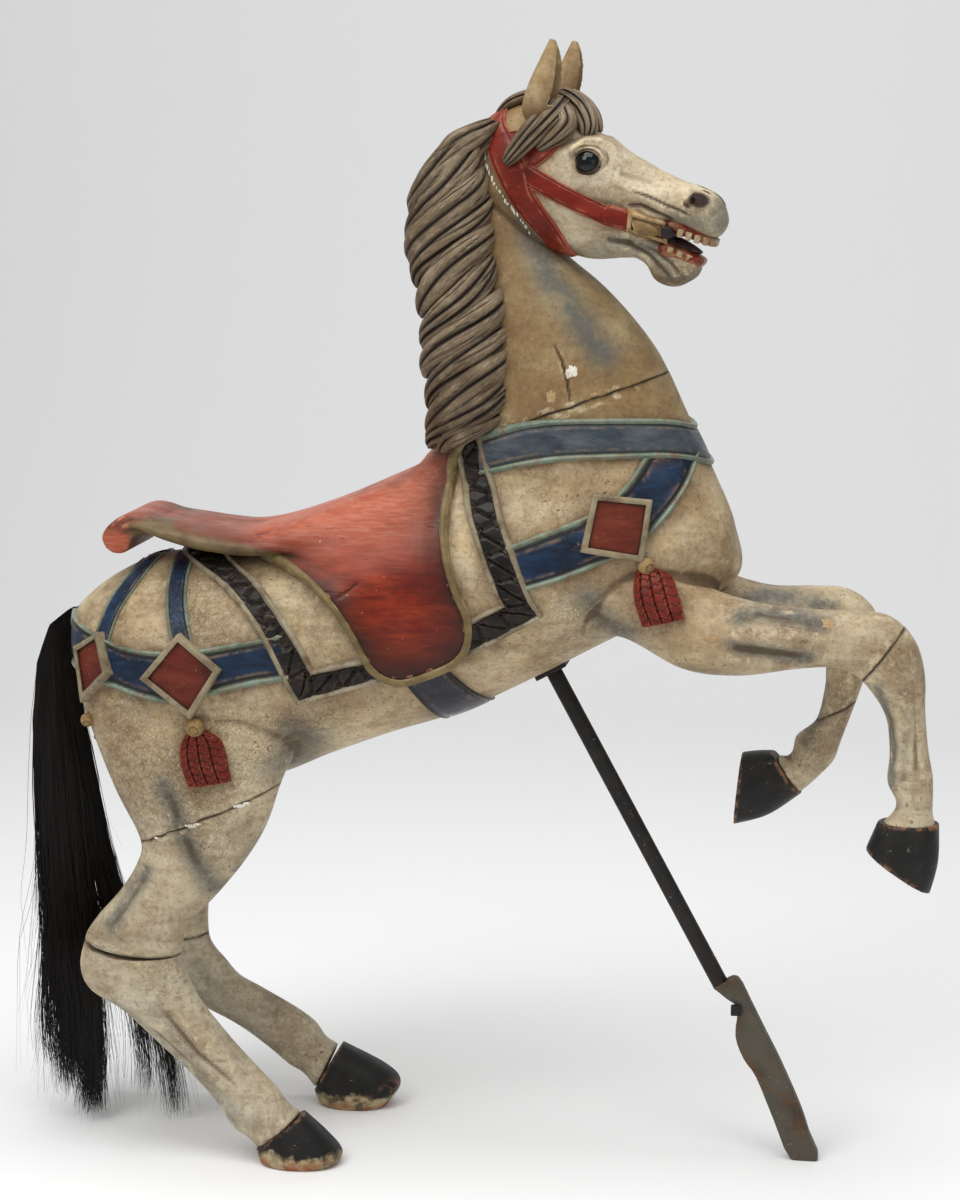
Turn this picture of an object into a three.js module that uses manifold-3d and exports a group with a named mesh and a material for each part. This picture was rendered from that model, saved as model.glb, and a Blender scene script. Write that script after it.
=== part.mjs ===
// An old carousel jumper, carved in wood and painted, reared up on its two hind hooves
// and an iron pole. Millimetres, +Z up. The horse faces +X and its left side is +Y.
// The origin is on the floor, under the middle of the horse.
import * as THREE from 'three';
import { mergeVertices } from 'three/addons/utils/BufferGeometryUtils.js';
import Module from 'manifold-3d';

const wasm = await Module();
wasm.setup();

// ---------------------------------------------------------------- driving dimensions
const SEAM = 0.5;             // open glue line between two carved blocks
const STRAP = 4;              // how far the carved straps stand up
const BORDER = 7;             // how far their raised borders stand up
const FLAP = 9;               // saddle flap
const PLATE = 13;             // jewelled plates
const WELD = 0.02;            // corners closer than this are one
const REACH = 400;            // wider than the horse, for cutting side outlines
const HEAD_TURN = -10 * Math.PI / 180;   // the head looks a little to its right
const POLL_X = 20;            // the upright axis that the head turns about

// Rows of carved limbs. Each is one cross-section: its two ends seen from the side
// (x, z, x, z), half its thickness across the horse, and the y of its middle.
const TRUNK = [
  [-522, 688, -512, 632, 34, 0],
  [-504, 708, -498, 572, 88, 0],
  [-468, 735, -462, 520, 124, 0],
  [-413, 760, -398, 484, 145, 0],
  [-350, 768, -325, 471, 151, 0],
  [-280, 781, -252, 484, 147, 0],
  [-210, 800, -186, 512, 143, 0],
  [-145, 830, -110, 541, 142, 0],
  [-98, 853, -26, 569, 140, 0],
  [-78, 867, 64, 612, 136, 0],
  [-68, 877, 210, 690, 125, 0],
  [-62, 885, 320, 745, 110, 0],
  [-58, 891, 319, 812, 101, 0],
  [-55, 896, 293, 876, 97, 0],
  [-52, 900, 262, 942, 93, 0],
  [-50, 903, 234, 1003, 89, 0],      // glue seam at the root of the neck
  [-46, 962, 216, 1035, 82, 0],
  [-42, 1022, 187, 1072, 74, 0],
  [-45, 1085, 152, 1108, 67, 0],
  [-52, 1145, 113, 1139, 60, 0],
  [-52, 1200, 92, 1158, 56, 0],
  [-34, 1250, 76, 1166, 52, 0],
];
const NECK_SEAM = 15;

const HIND_NEAR = [
  [-498, 655, -240, 665, 58, -72],
  [-496, 598, -212, 590, 64, -82],
  [-478, 543, -214, 540, 60, -88],
  [-450, 474, -226, 514, 55, -92],
  [-418, 410, -238, 486, 50, -95],   // seam across the thigh
  [-424, 378, -256, 434, 47, -96],
  [-446, 343, -283, 388, 43, -97],
  [-474, 311, -322, 340, 38, -98],
  [-490, 288, -358, 301, 36, -99],
  [-494, 275, -368, 262, 36, -99],   // seam over the hock, open at the back
  [-500, 244, -362, 246, 37, -100],
  [-488, 214, -358, 232, 34, -101],
  [-446, 188, -352, 219, 31, -102],
  [-400, 149, -340, 199, 28, -104],
  [-354, 108, -303, 155, 26, -106],
  [-322, 74, -270, 121, 25, -108],
  [-300, 42, -243, 94, 27, -109],
  [-282, 31, -231, 76, 28, -110],
  [-267, 16, -213, 63, 30, -110],
];
const HOOF_HIND_NEAR = [
  [-270, 16, -209, 65, 33, -110],
  [-266, 6, -180, 38, 40, -110],
  [-264, 1, -160, 14, 42, -110],
  [-260, 0, -168, 0, 38, -110],
];
const HIND_FAR = [
  [-498, 655, -250, 665, 58, 72],
  [-496, 598, -232, 590, 64, 82],
  [-480, 543, -246, 536, 60, 88],
  [-456, 474, -270, 506, 55, 92],
  [-428, 410, -288, 462, 50, 95],    // seam across the thigh
  [-436, 375, -304, 418, 47, 96],
  [-458, 338, -326, 374, 43, 97],
  [-485, 303, -352, 333, 38, 99],
  [-505, 262, -380, 292, 36, 100],
  [-512, 222, -384, 234, 35, 101],   // seam over the hock
  [-506, 192, -376, 212, 34, 102],
  [-462, 164, -362, 196, 31, 103],
  [-400, 134, -344, 174, 28, 105],
  [-345, 106, -315, 158, 26, 107],
  [-304, 76, -266, 130, 26, 110],
  [-276, 52, -241, 110, 28, 113],
  [-258, 42, -229, 90, 29, 115],
  [-241, 20, -212, 80, 31, 117],
];
const HOOF_HIND_FAR = [
  [-243, 18, -206, 83, 34, 118],
  [-240, 8, -146, 53, 40, 118],
  [-237, 2, -127, 30, 41, 118],
  [-230, 0, -146, 0, 35, 118],
];
const THIGH_SEAM = 4;
const HOCK_SEAM = 9;

const FORE_NEAR = [
  [150, 800, 122, 668, 50, -45],
  [220, 780, 185, 680, 54, -58],
  [290, 745, 262, 644, 50, -66],
  [352, 728, 330, 638, 45, -70],
  [412, 722, 398, 648, 38, -71],
  [462, 721, 446, 652, 35, -71],
  [503, 719, 468, 645, 35, -71],
  [530, 703, 480, 636, 34, -71],     // seam through the knee
  [548, 676, 492, 622, 32, -71],
  [556, 640, 504, 604, 30, -71],
  [557, 600, 512, 582, 27, -71],
  [562, 552, 515, 545, 24, -71],
  [568, 520, 513, 512, 26, -71],
  [569, 492, 524, 490, 26, -71],
  [569, 474, 522, 475, 26, -71],
  [574, 455, 506, 458, 30, -71],
];
const KNEE_SEAM_NEAR = 7;
const HOOF_FORE_NEAR = [
  [577, 462, 503, 462, 31, -71],
  [577, 415, 493, 437, 37, -71],
  [568, 375, 489, 427, 39, -71],
];
const FORE_FAR = [
  [150, 800, 122, 672, 50, 45],
  [220, 780, 188, 690, 52, 58],
  [290, 748, 262, 672, 48, 66],
  [355, 728, 340, 664, 42, 70],
  [415, 728, 398, 662, 37, 70],
  [455, 726, 428, 656, 34, 70],
  [486, 706, 431, 640, 34, 70],
  [495, 678, 431, 618, 33, 70],
  [489, 640, 430, 597, 31, 70],
  [470, 582, 420, 556, 28, 70],      // seam below the knee
  [452, 530, 396, 536, 25, 70],
  [444, 506, 392, 518, 27, 70],
  [426, 485, 385, 507, 27, 70],
  [402, 462, 370, 509, 30, 70],
];
const KNEE_SEAM_FAR = 9;
const HOOF_FORE_FAR = [
  [404, 462, 366, 514, 33, 70],
  [362, 432, 346, 513, 37, 70],
  [318, 418, 327, 510, 39, 70],
];

const SKULL = [
  [-20, 1274, 58, 1164, 46, 0],
  [14, 1305, 84, 1154, 53, 0],
  [54, 1326, 112, 1148, 57, 0],
  [96, 1324, 136, 1141, 58, 0],
  [130, 1300, 156, 1139, 57, 0],
  [156, 1289, 180, 1141, 50, 0],
  [191, 1268, 200, 1143, 43, 0],
  [224, 1250, 218, 1160, 37, 0],
  [253, 1236, 240, 1182, 34, 0],
  [279, 1227, 262, 1178, 36, 0],
  [303, 1213, 284, 1170, 35, 0],
  [312, 1190, 301, 1166, 25, 0],
];
const JAW = [
  [142, 1190, 146, 1140, 40, 0],
  [186, 1180, 195, 1142, 34, 0],
  [214, 1172, 216, 1132, 29, 0],
  [240, 1163, 226, 1114, 27, 0],
  [262, 1151, 250, 1107, 25, 0],
  [281, 1138, 274, 1118, 20, 0],
];
const EAR = [
  [94, 1292, 76, 1292, 10, 38],
  [100, 1306, 72, 1306, 13, 42],
  [109, 1325, 68, 1322, 16, 43],
  [117, 1350, 77, 1350, 17, 44],
  [118, 1375, 91, 1378, 13, 45],
  [110, 1400, 103, 1402, 4, 45],
];
const MANE = [
  [12, 1302, 34, 1290, 20, -14],
  [-45, 1272, 14, 1256, 44, -24],
  [-82, 1205, 22, 1211, 56, -26],
  [-84, 1166, 28, 1172, 60, -26],
  [-70, 1100, 38, 1095, 66, -26],
  [-60, 1030, 45, 1030, 70, -26],
  [-58, 965, 48, 970, 72, -26],
  [-56, 910, 30, 940, 66, -26],
];
const SEAT = [
  [-460, 812, -452, 786, 66, 0],
  [-430, 824, -420, 790, 94, 0],
  [-388, 820, -380, 770, 112, 0],
  [-335, 809, -330, 755, 122, 0],
  [-285, 807, -280, 755, 122, 0],
  [-230, 821, -224, 765, 116, 0],
  [-170, 840, -158, 788, 102, 0],
  [-106, 868, -94, 818, 82, 0],
  [-66, 886, -52, 850, 52, 0],
  [-44, 898, -38, 872, 24, 0],
];
const LOCK_DROP = 109;
const SCROLL = { x: -450, z: 786, radius: 21, half: 60 };
const TAIL = [
  [-528, 690, -520, 668, 12, 0],
  [-556, 668, -530, 650, 22, 0],
  [-573, 620, -536, 612, 27, 0],
  [-580, 545, -526, 545, 32, 0],
  [-584, 450, -511, 450, 37, 0],
  [-583, 350, -503, 350, 40, 0],
  [-578, 240, -492, 240, 40, 0],
  [-566, 140, -484, 140, 34, 0],
  [-556, 62, -484, 62, 26, 0],
  [-540, 12, -500, 12, 12, 0],
];

// Outlines of what is carved on the flanks, seen from the side (x, z)
const FLAP_LINE = [
  [-5, 915], [-22, 868], [-25, 818], [-9, 745], [7, 702], [-8, 661], [-50, 639],
  [-85, 630], [-114, 650], [-142, 700], [-178, 739], [-240, 766], [-320, 784], [-372, 790],
];
const BLANKET_REAR = [[-372, 788], [-319, 765], [-263, 710], [-227, 643], [-207, 598]];
const BLANKET_FOOT = [[-207, 598], [-114, 624], [-27, 644], [46, 684], [96, 713]];
const BLANKET_FRONT = [[96, 713], [65, 784], [46, 832], [22, 902], [17, 935]];
const FIELD_REAR = [[-300, 788], [-248, 749], [-199, 679], [-183, 644], [-120, 661]];
const FIELD_FRONT = [[-14, 890], [-3, 843], [16, 795], [44, 728], [8, 708]];
const COLLAR_TOP = [[16, 932], [66, 945], [115, 950], [200, 950], [250, 944], [290, 920], [350, 895]];
const COLLAR_FOOT = [[22, 879], [68, 891], [120, 899], [200, 902], [250, 900], [290, 885], [350, 830]];
const BREAST_TOP = [[50, 797], [93, 813], [148, 835], [180, 858], [199, 882], [211, 903]];
const BREAST_FOOT = [[74, 743], [118, 757], [178, 782], [208, 795], [244, 835], [266, 872], [274, 905]];
const CRUPPER_TOP = [[-222, 686], [-276, 674], [-352, 661], [-422, 663], [-470, 676], [-560, 700]];
const CRUPPER_FOOT = [[-214, 629], [-264, 620], [-353, 598], [-391, 600], [-455, 615], [-560, 640]];
const RUMP_STRAP = [[-349, 790], [-351, 720], [-352, 664]];
const CROUP_STRAP = [[-386, 780], [-422, 737], [-443, 708], [-455, 672]];
const GIRTH = [[-40, 652], [-4, 600], [34, 545]];
const BRIDLE = [
  [40, 1330], [38, 1306], [48, 1294], [64, 1287], [82, 1285], [118, 1296], [122, 1280],
  [96, 1251], [120, 1233], [151, 1217], [179, 1203], [202, 1197], [202, 1173], [177, 1180],
  [152, 1192], [120, 1206], [95, 1213], [111, 1182], [132, 1145], [126, 1128], [103, 1128],
  [92, 1169], [69, 1199], [50, 1229], [33, 1264], [18, 1297], [16, 1325],
];

// Iron work
const POLE = { top: [94, 622], foot: [309, 225], radius: 10.5 };
const LEVER_LEFT = [[300, 221], [331, 196], [329, 160], [356, 107], [402, 0]];
const LEVER_RIGHT = [[436, 0], [412, 70], [386, 128], [366, 167], [349, 201], [331, 234], [314, 230]];
const LEVER_HALF = 11;
const BOLT = { x: 330, z: 196, side: 13, proud: 9 };

// ---------------------------------------------------------------- working tools
// A closed geometry as a solid that can be cut and joined
function solidOf(geometry) {
  const bare = new THREE.BufferGeometry();
  bare.setAttribute('position', geometry.getAttribute('position'));
  bare.setIndex(geometry.getIndex());
  const merged = mergeVertices(bare, 1e-3);
  return new wasm.Manifold(new wasm.Mesh({
    numProp: 3,
    vertProperties: new Float32Array(merged.getAttribute('position').array),
    triVerts: new Uint32Array(merged.getIndex().array),
  }));
}

// The cut solid as a mesh, with corners closer than WELD made one and the slivers between
// them left out
function geometryOf(solid) {
  const mesh = solid.getMesh();
  const loose = new THREE.BufferGeometry();
  loose.setAttribute('position', new THREE.BufferAttribute(mesh.vertProperties, 3));
  loose.setIndex(new THREE.BufferAttribute(mesh.triVerts, 1));
  const geometry = mergeVertices(loose, WELD);
  const index = geometry.getIndex().array;
  const kept = [];
  for (let f = 0; f < index.length; f += 3) {
    const [a, b, c] = index.slice(f, f + 3);
    if (a !== b && b !== c && c !== a) kept.push(a, b, c);
  }
  geometry.setIndex(kept);
  return geometry;
}

const joined = (solids) => solids.reduce((all, next) => all.add(next));

// The rows with smooth in-between rows, so that few rows give a round limb
function smoothRows(rows, steps) {
  const at = (i) => rows[Math.min(Math.max(i, 0), rows.length - 1)];
  const blend = (p0, p1, p2, p3, t) => 0.5 * (2 * p1 + (p2 - p0) * t
    + (2 * p0 - 5 * p1 + 4 * p2 - p3) * t * t + (3 * p1 - p0 - 3 * p2 + p3) * t ** 3);
  const out = [];
  for (let i = 0; i < rows.length - 1; i += 1) {
    for (let k = 0; k < steps; k += 1) {
      out.push(rows[i].map((v, c) => blend(at(i - 1)[c], v, at(i + 1)[c], at(i + 2)[c], k / steps)));
    }
  }
  out.push(rows.at(-1));
  return out;
}

// A carved limb through its rows. square above 2 fills the corners of the cross-section,
// lift swells it, and turn yaws it about the poll, from its first row to its last.
function limb(rows, { sides = 14, steps = 1, square = 2.2, lift = 0, turn = [0, 0], open = 0 } = {}) {
  const rings = smoothRows(rows, steps);
  const points = [];
  const faces = [];
  const power = 2 / square;
  const curve = (v) => Math.sign(v) * Math.abs(v) ** power;
  rings.forEach(([ax, az, bx, bz, half, y], r) => {
    const arm = new THREE.Vector2(ax - bx, az - bz).multiplyScalar(0.5);
    arm.setLength(arm.length() + lift);
    const yaw = turn[0] + (turn[1] - turn[0]) * r / (rings.length - 1);
    const slip = r === 0 ? open : 0;
    const next = rings[Math.min(r + 1, rings.length - 1)];
    const run = new THREE.Vector2(next[0] + next[2] - ax - bx, next[1] + next[3] - az - bz).normalize();
    for (let s = 0; s < sides; s += 1) {
      const angle = 2 * Math.PI * s / sides;
      const x = (ax + bx) / 2 + arm.x * curve(Math.cos(angle)) + run.x * slip - POLL_X;
      const z = (az + bz) / 2 + arm.y * curve(Math.cos(angle)) + run.y * slip;
      const side = y + (half + lift) * curve(Math.sin(angle));
      points.push(POLL_X + x * Math.cos(yaw) - side * Math.sin(yaw), x * Math.sin(yaw) + side * Math.cos(yaw), z);
    }
  });
  for (let r = 0; r < rings.length - 1; r += 1) {
    for (let s = 0; s < sides; s += 1) {
      const [a, b] = [r * sides + s, r * sides + (s + 1) % sides];
      faces.push(a, b, b + sides, a, b + sides, a + sides);
    }
  }
  const last = (rings.length - 1) * sides;
  for (let s = 1; s < sides - 1; s += 1) {
    faces.push(0, s + 1, s, last, last + s, last + s + 1);
  }
  const geometry = new THREE.BufferGeometry();
  geometry.setAttribute('position', new THREE.Float32BufferAttribute(points, 3));
  geometry.setIndex(faces);
  const solid = solidOf(geometry);
  if (solid.volume() > 0) return solid;
  const flipped = [];
  for (let f = 0; f < faces.length; f += 3) flipped.push(faces[f], faces[f + 2], faces[f + 1]);
  geometry.setIndex(flipped);
  return solidOf(geometry);
}

// A side outline cut right through, from y = from to y = to
function sideCut(outline, from = -REACH, to = REACH) {
  const shape = new THREE.Shape(outline.map(([x, z]) => new THREE.Vector2(x, z)));
  const geometry = new THREE.ExtrudeGeometry(shape, { depth: to - from, bevelEnabled: false });
  geometry.rotateX(Math.PI / 2);
  geometry.translate(0, to, 0);
  return solidOf(geometry);
}

// The side outline of a band of even width along a line
function band(line, width) {
  const left = [];
  const right = [];
  line.forEach(([x, z], i) => {
    const [x0, z0] = line[Math.max(i - 1, 0)];
    const [x1, z1] = line[Math.min(i + 1, line.length - 1)];
    const along = new THREE.Vector2(x1 - x0, z1 - z0).setLength(width / 2);
    left.push([x - along.y, z + along.x]);
    right.unshift([x + along.y, z - along.x]);
  });
  return [...left, ...right];
}

const between = (one, other) => [...one, ...[...other].reverse()];
const block = (x, y, z, w, d, h) => new THREE.BoxGeometry(w, d, h).translate(x, y, z);

function named(name, solid, color, roughness, metalness = 0) {
  const mesh = new THREE.Mesh(
    solid.isBufferGeometry ? solid : geometryOf(solid),
    new THREE.MeshStandardMaterial({ color, roughness, metalness, flatShading: true }),
  );
  mesh.name = name;
  return mesh;
}

// ---------------------------------------------------------------- the horse's body
const UPPER = [
  [TRUNK.slice(0, NECK_SEAM + 1), 16],
  [HIND_NEAR.slice(0, THIGH_SEAM + 1), 12],
  [HIND_FAR.slice(0, THIGH_SEAM + 1), 12],
  [FORE_NEAR.slice(0, KNEE_SEAM_NEAR + 1), 10],
  [FORE_FAR.slice(0, KNEE_SEAM_FAR + 1), 10],
];
const skin = (lift) => joined(UPPER.map(([rows, sides]) => limb(rows, { sides, lift })));

// The trunk alone carries the relief, so that it ends at the legs' roots
const coat = (lift) => limb(UPPER[0][0], { sides: UPPER[0][1], lift });
const COATS = { [STRAP]: coat(STRAP), [BORDER]: coat(BORDER), [FLAP]: coat(FLAP), [PLATE]: coat(PLATE) };
const carved = (outline, lift, from, to) => COATS[lift].intersect(sideCut(outline, from, to));

// The seat with its rolled cantle, and a flap down each flank
function saddle() {
  const roll = new THREE.CylinderGeometry(SCROLL.radius, SCROLL.radius, 2 * SCROLL.half, 14)
    .translate(SCROLL.x, 0, SCROLL.z);
  const flap = [...FLAP_LINE, [-372, 850], [0, 960]];
  return joined([
    limb(SEAT, { sides: 14, square: 2.6 }),
    solidOf(roll),
    carved(flap, FLAP),
  ]);
}

function blanket() {
  const outer = [...BLANKET_REAR, ...BLANKET_FOOT.slice(1), ...BLANKET_FRONT.slice(1)];
  const cloth = between(outer, [...FIELD_REAR, ...[...FIELD_FRONT].reverse()]);
  const rim = band(outer, 10);
  return joined([carved(cloth, STRAP), carved(rim, BORDER, -REACH, 0)]);
}

function harness() {
  const straps = [
    between(COLLAR_TOP, COLLAR_FOOT),
    between(BREAST_TOP, BREAST_FOOT),
    between(CRUPPER_TOP, CRUPPER_FOOT),
    band(RUMP_STRAP, 27),
    band(CROUP_STRAP, 24),
    band(GIRTH, 52),
  ];
  return joined(straps.map((strap) => carved(strap, STRAP)));
}

// A square plate on its band, with a knob and a tassel hanging from it
function jewel(corners, knob, tassel) {
  const [kx, kz, y] = knob;
  return joined([
    carved(corners, PLATE, -REACH, 0),
    solidOf(new THREE.SphereGeometry(11, 10, 6).translate(kx, y, kz)),
    carved(tassel, BORDER, -REACH, 0),
  ]);
}

// The plate on the buttock looks backwards, so it is cut as a block of its own
function rearJewel() {
  const plate = new THREE.BoxGeometry(66, 30, 66).rotateY(0.62).rotateZ(-0.95).translate(-488, -62, 626);
  const tassel = new THREE.CylinderGeometry(9, 17, 70, 8).rotateX(Math.PI / 2).rotateY(-0.33)
    .translate(-480, -66, 545);
  return joined([solidOf(plate), solidOf(tassel)]);
}

const body = joined([
  skin(0),
  saddle(),
  blanket(),
  harness(),
  jewel([[154, 864], [226, 857], [214, 783], [142, 795]], [214, 776, -116],
    [[210, 766], [206, 745], [217, 716], [265, 726], [257, 750], [240, 770]]),
  jewel([[-350, 684], [-296, 641], [-334, 579], [-399, 627]], [-334, 563, -143],
    [[-344, 553], [-320, 556], [-300, 540], [-291, 502], [-342, 490], [-351, 530]]),
  rearJewel(),
]);

// ---------------------------------------------------------------- head, neck and mane
const turned = [HEAD_TURN, HEAD_TURN];
const yaw = (solid) => solid.translate([-POLL_X, 0, 0])
  .rotate([0, 0, HEAD_TURN * 180 / Math.PI])
  .translate([POLL_X, 0, 0]);

function ear(side) {
  const place = (rows) => rows.map(([ax, az, bx, bz, half, y]) => [ax, az, bx, bz, half, side * y]);
  const hollow = EAR.slice(2).map(([ax, az, bx, bz, half, y]) => [ax + 9, az, bx + 14, bz, half * 0.6, y + 3]);
  return limb(place(EAR), { sides: 10, turn: turned })
    .subtract(limb(place(hollow), { sides: 8, turn: turned }));
}

// The mane's edge or thickness at a height, read off its rows
function maneAt(z, column) {
  const below = Math.max(MANE.findIndex((row) => row[1] <= z), 1);
  const [hi, lo] = [MANE[below - 1], MANE[below]];
  const t = THREE.MathUtils.clamp((hi[1] - z) / (hi[1] - lo[1]), 0, 1);
  return hi[column] + (lo[column] - hi[column]) * t;
}

// One rope-like lock: from the neck down and back over the crest
function lock(top) {
  const steps = 4;
  const middle = Array.from({ length: steps + 1 }, (_, s) => {
    const z = top - LOCK_DROP * s / steps;
    const [left, right] = [maneAt(z, 0), maneAt(z, 2)];
    const across = 0.9 - 1.6 * THREE.MathUtils.smoothstep(s / steps, 0, 1);
    const x = (left + right) / 2 + (right - left) / 2 * across;
    return [x, z, -26 - (maneAt(z, 4) - 2) * Math.sqrt(1 - across ** 2)];
  });
  const rows = middle.map(([x, z, y], s) => {
    const [from, to] = [middle[Math.max(s - 1, 0)], middle[Math.min(s + 1, steps)]];
    const wide = 7 + 8 * Math.sin(Math.PI * Math.min(0.15 + s / steps, 0.9));
    const arm = new THREE.Vector2(from[1] - to[1], to[0] - from[0]).setLength(wide);
    return [x - arm.x, z - arm.y, x + arm.x, z + arm.y, 8, y];
  });
  return limb(rows, { sides: 5, turn: [HEAD_TURN / 2, HEAD_TURN / 2] });
}

function mane() {
  const count = 8;
  const locks = Array.from({ length: count }, (_, i) => lock(1277 - 33 * i));
  return joined([limb(MANE, { sides: 10, turn: [HEAD_TURN, 0] }), ...locks]);
}

function forelock() {
  const sweep = [[104, 1332, 108, 1322, 12, -18], [112, 1316, 94, 1302, 15, -40],
    [98, 1290, 78, 1272, 13, -56], [64, 1270, 56, 1252, 6, -58]];
  const tuft = [[100, 1334, 106, 1316, 20, 0], [132, 1326, 112, 1302, 32, -4],
    [147, 1305, 118, 1288, 30, -10], [146, 1292, 126, 1280, 18, -14]];
  return joined([sweep, tuft].map((rows) => limb(rows, { sides: 7, steps: 1, turn: turned })));
}

// Teeth, tongue and the roller of the bit, all carved with the head
function mouth() {
  const parts = [];
  for (let i = -1; i <= 1; i += 1) {
    const back = 7 * i * i;
    parts.push(block(290 - back, 12 * i, 1167, 12, 10, 24), block(275 - back, 10 * i, 1138, 12, 8, 20));
  }
  parts.push(new THREE.BoxGeometry(62, 30, 8).rotateY(0.36).translate(254, 0, 1158));
  parts.push(new THREE.CylinderGeometry(9, 9, 92, 12).translate(248, 0, 1175));
  return joined(parts.map(solidOf)).intersect(solidOf(block(250, 0, 1160, 120, 90, 90)));
}

const EYE = { x: 151, y: 44, z: 1256, radius: 16 };
const eyeball = (side, radius) => yaw(solidOf(
  new THREE.SphereGeometry(radius, 10, 6).rotateX(Math.PI / 2).translate(EYE.x, side * EYE.y, EYE.z),
));

function bridle() {
  const leather = joined([limb(SKULL, { sides: 12, lift: 4 }), limb(JAW, { sides: 8, lift: 4 })]);
  const buckle = limb(SKULL, { sides: 12, lift: 9 })
    .intersect(sideCut([[200, 1199], [234, 1194], [252, 1180], [243, 1164], [203, 1172]]));
  return yaw(joined([leather.intersect(sideCut(BRIDLE)), buckle]));
}

const NECK = TRUNK.slice(NECK_SEAM);
const headAndNeck = joined([
  limb(NECK, { sides: 16, open: SEAM, turn: [0, HEAD_TURN] }),
  limb(SKULL, { sides: 12, turn: turned }),
  limb(JAW, { sides: 8, turn: turned }),
  mane(),
  forelock(),
  bridle(),
  yaw(mouth()),
  ear(-1),
  ear(1),
])
  .subtract(eyeball(-1, EYE.radius + SEAM))
  .subtract(eyeball(1, EYE.radius + SEAM));

// ---------------------------------------------------------------- lower legs
function legBlock(rows, from, to, hoof) {
  const leg = limb(rows.slice(from, to + 1), { sides: 10, open: SEAM });
  return hoof ? leg.add(limb(hoof, { sides: 12, square: 2.3 })) : leg;
}

// The glue line over the near hock has sprung open at the back
function sprungCannon() {
  const rows = HIND_NEAR.map((row) => [...row]);
  rows[HOCK_SEAM] = [-498, 266, -368, 260, 36, -99];
  return legBlock(rows, HOCK_SEAM, rows.length - 1, HOOF_HIND_NEAR);
}

// ---------------------------------------------------------------- tail and iron work
const tail = limb(TAIL, { sides: 10 }).subtract(skin(SEAM)).subtract(COATS[STRAP]);

// A round or square bar between two points in the middle plane
function bar([x0, z0], [x1, z1], radius, sides) {
  const geometry = new THREE.CylinderGeometry(radius, radius, Math.hypot(x1 - x0, z1 - z0), sides);
  geometry.rotateX(Math.PI / 2).rotateY(Math.atan2(x1 - x0, z1 - z0));
  return geometry.translate((x0 + x1) / 2, 0, (z0 + z1) / 2);
}

const lean = Math.atan2(POLE.foot[0] - POLE.top[0], POLE.top[1] - POLE.foot[1]);
const along = ([x, z], d) => [x + d * Math.sin(lean), z - d * Math.cos(lean)];
const platePlace = along(POLE.top, -4);
const bellyPlate = solidOf(new THREE.BoxGeometry(40, 40, 7).rotateY(-lean).translate(platePlace[0], 0, platePlace[1]))
  .subtract(skin(SEAM));
const lever = sideCut([...LEVER_LEFT, ...LEVER_RIGHT], -LEVER_HALF, LEVER_HALF);
const pole = solidOf(bar(along(POLE.top, 0.3), along(POLE.foot, 0), POLE.radius, 16))
  .subtract(sideCut(band([...LEVER_LEFT, ...LEVER_RIGHT], 0.8), -LEVER_HALF - 0.4, LEVER_HALF + 0.4))
  .subtract(lever);
const boltHead = block(BOLT.x, -LEVER_HALF - 0.4 - BOLT.proud / 2, BOLT.z, BOLT.side, BOLT.proud, BOLT.side);

// ---------------------------------------------------------------- the whole
const CREAM = 0xcfc4a6;
const IRON = 0x3a3b3c;
const group = new THREE.Group();
group.add(
  named('body', body, CREAM, 0.6),
  named('head_and_neck', headAndNeck, CREAM, 0.6),
  named('hind_thigh_right', legBlock(HIND_NEAR, THIGH_SEAM, HOCK_SEAM), CREAM, 0.6),
  named('hind_thigh_left', legBlock(HIND_FAR, THIGH_SEAM, HOCK_SEAM), CREAM, 0.6),
  named('hind_shank_right', sprungCannon(), CREAM, 0.6),
  named('hind_shank_left', legBlock(HIND_FAR, HOCK_SEAM, HIND_FAR.length - 1, HOOF_HIND_FAR), CREAM, 0.6),
  named('fore_shank_right', legBlock(FORE_NEAR, KNEE_SEAM_NEAR, FORE_NEAR.length - 1, HOOF_FORE_NEAR), CREAM, 0.6),
  named('fore_shank_left', legBlock(FORE_FAR, KNEE_SEAM_FAR, FORE_FAR.length - 1, HOOF_FORE_FAR), CREAM, 0.6),
  named('eye_right', eyeball(-1, EYE.radius), 0x0b0e14, 0.08),
  named('eye_left', eyeball(1, EYE.radius), 0x0b0e14, 0.08),
  named('tail', tail, 0x1c1512, 0.7),
  named('belly_plate', bellyPlate, IRON, 0.6, 0.8),
  named('pole', pole, IRON, 0.5, 0.8),
  named('pole_foot', lever, 0x4d5450, 0.7, 0.6),
  named('foot_bolt', boltHead, 0x6a4a34, 0.8, 0.5),
);

export default group;
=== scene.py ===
"""The looks of an old carved and painted carousel jumper, reared up on its hind hooves and an
iron pole. Design sizes are typed in millimetres and made into metres as a mesh is made.
The horse faces +X, its left side is +Y, and seen from its right the near side is -Y."""

import math
import random

import bmesh
import bpy
import numpy as np
from mathutils import Matrix, Vector
from mathutils.bvhtree import BVHTree
from mathutils.kdtree import KDTree


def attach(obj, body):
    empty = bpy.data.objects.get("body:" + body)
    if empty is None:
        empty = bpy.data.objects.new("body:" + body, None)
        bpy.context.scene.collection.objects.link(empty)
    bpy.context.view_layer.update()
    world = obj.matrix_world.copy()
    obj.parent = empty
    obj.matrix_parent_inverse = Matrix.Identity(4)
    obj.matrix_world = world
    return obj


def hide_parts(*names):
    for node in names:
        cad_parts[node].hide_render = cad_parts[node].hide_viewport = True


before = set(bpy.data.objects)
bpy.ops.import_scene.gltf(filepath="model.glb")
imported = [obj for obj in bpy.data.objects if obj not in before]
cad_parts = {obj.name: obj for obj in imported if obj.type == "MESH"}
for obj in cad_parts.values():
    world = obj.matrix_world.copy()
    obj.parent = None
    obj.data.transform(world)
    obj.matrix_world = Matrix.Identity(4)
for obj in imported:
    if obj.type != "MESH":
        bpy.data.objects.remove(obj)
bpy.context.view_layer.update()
bpy.ops.object.select_all(action="DESELECT")

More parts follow.
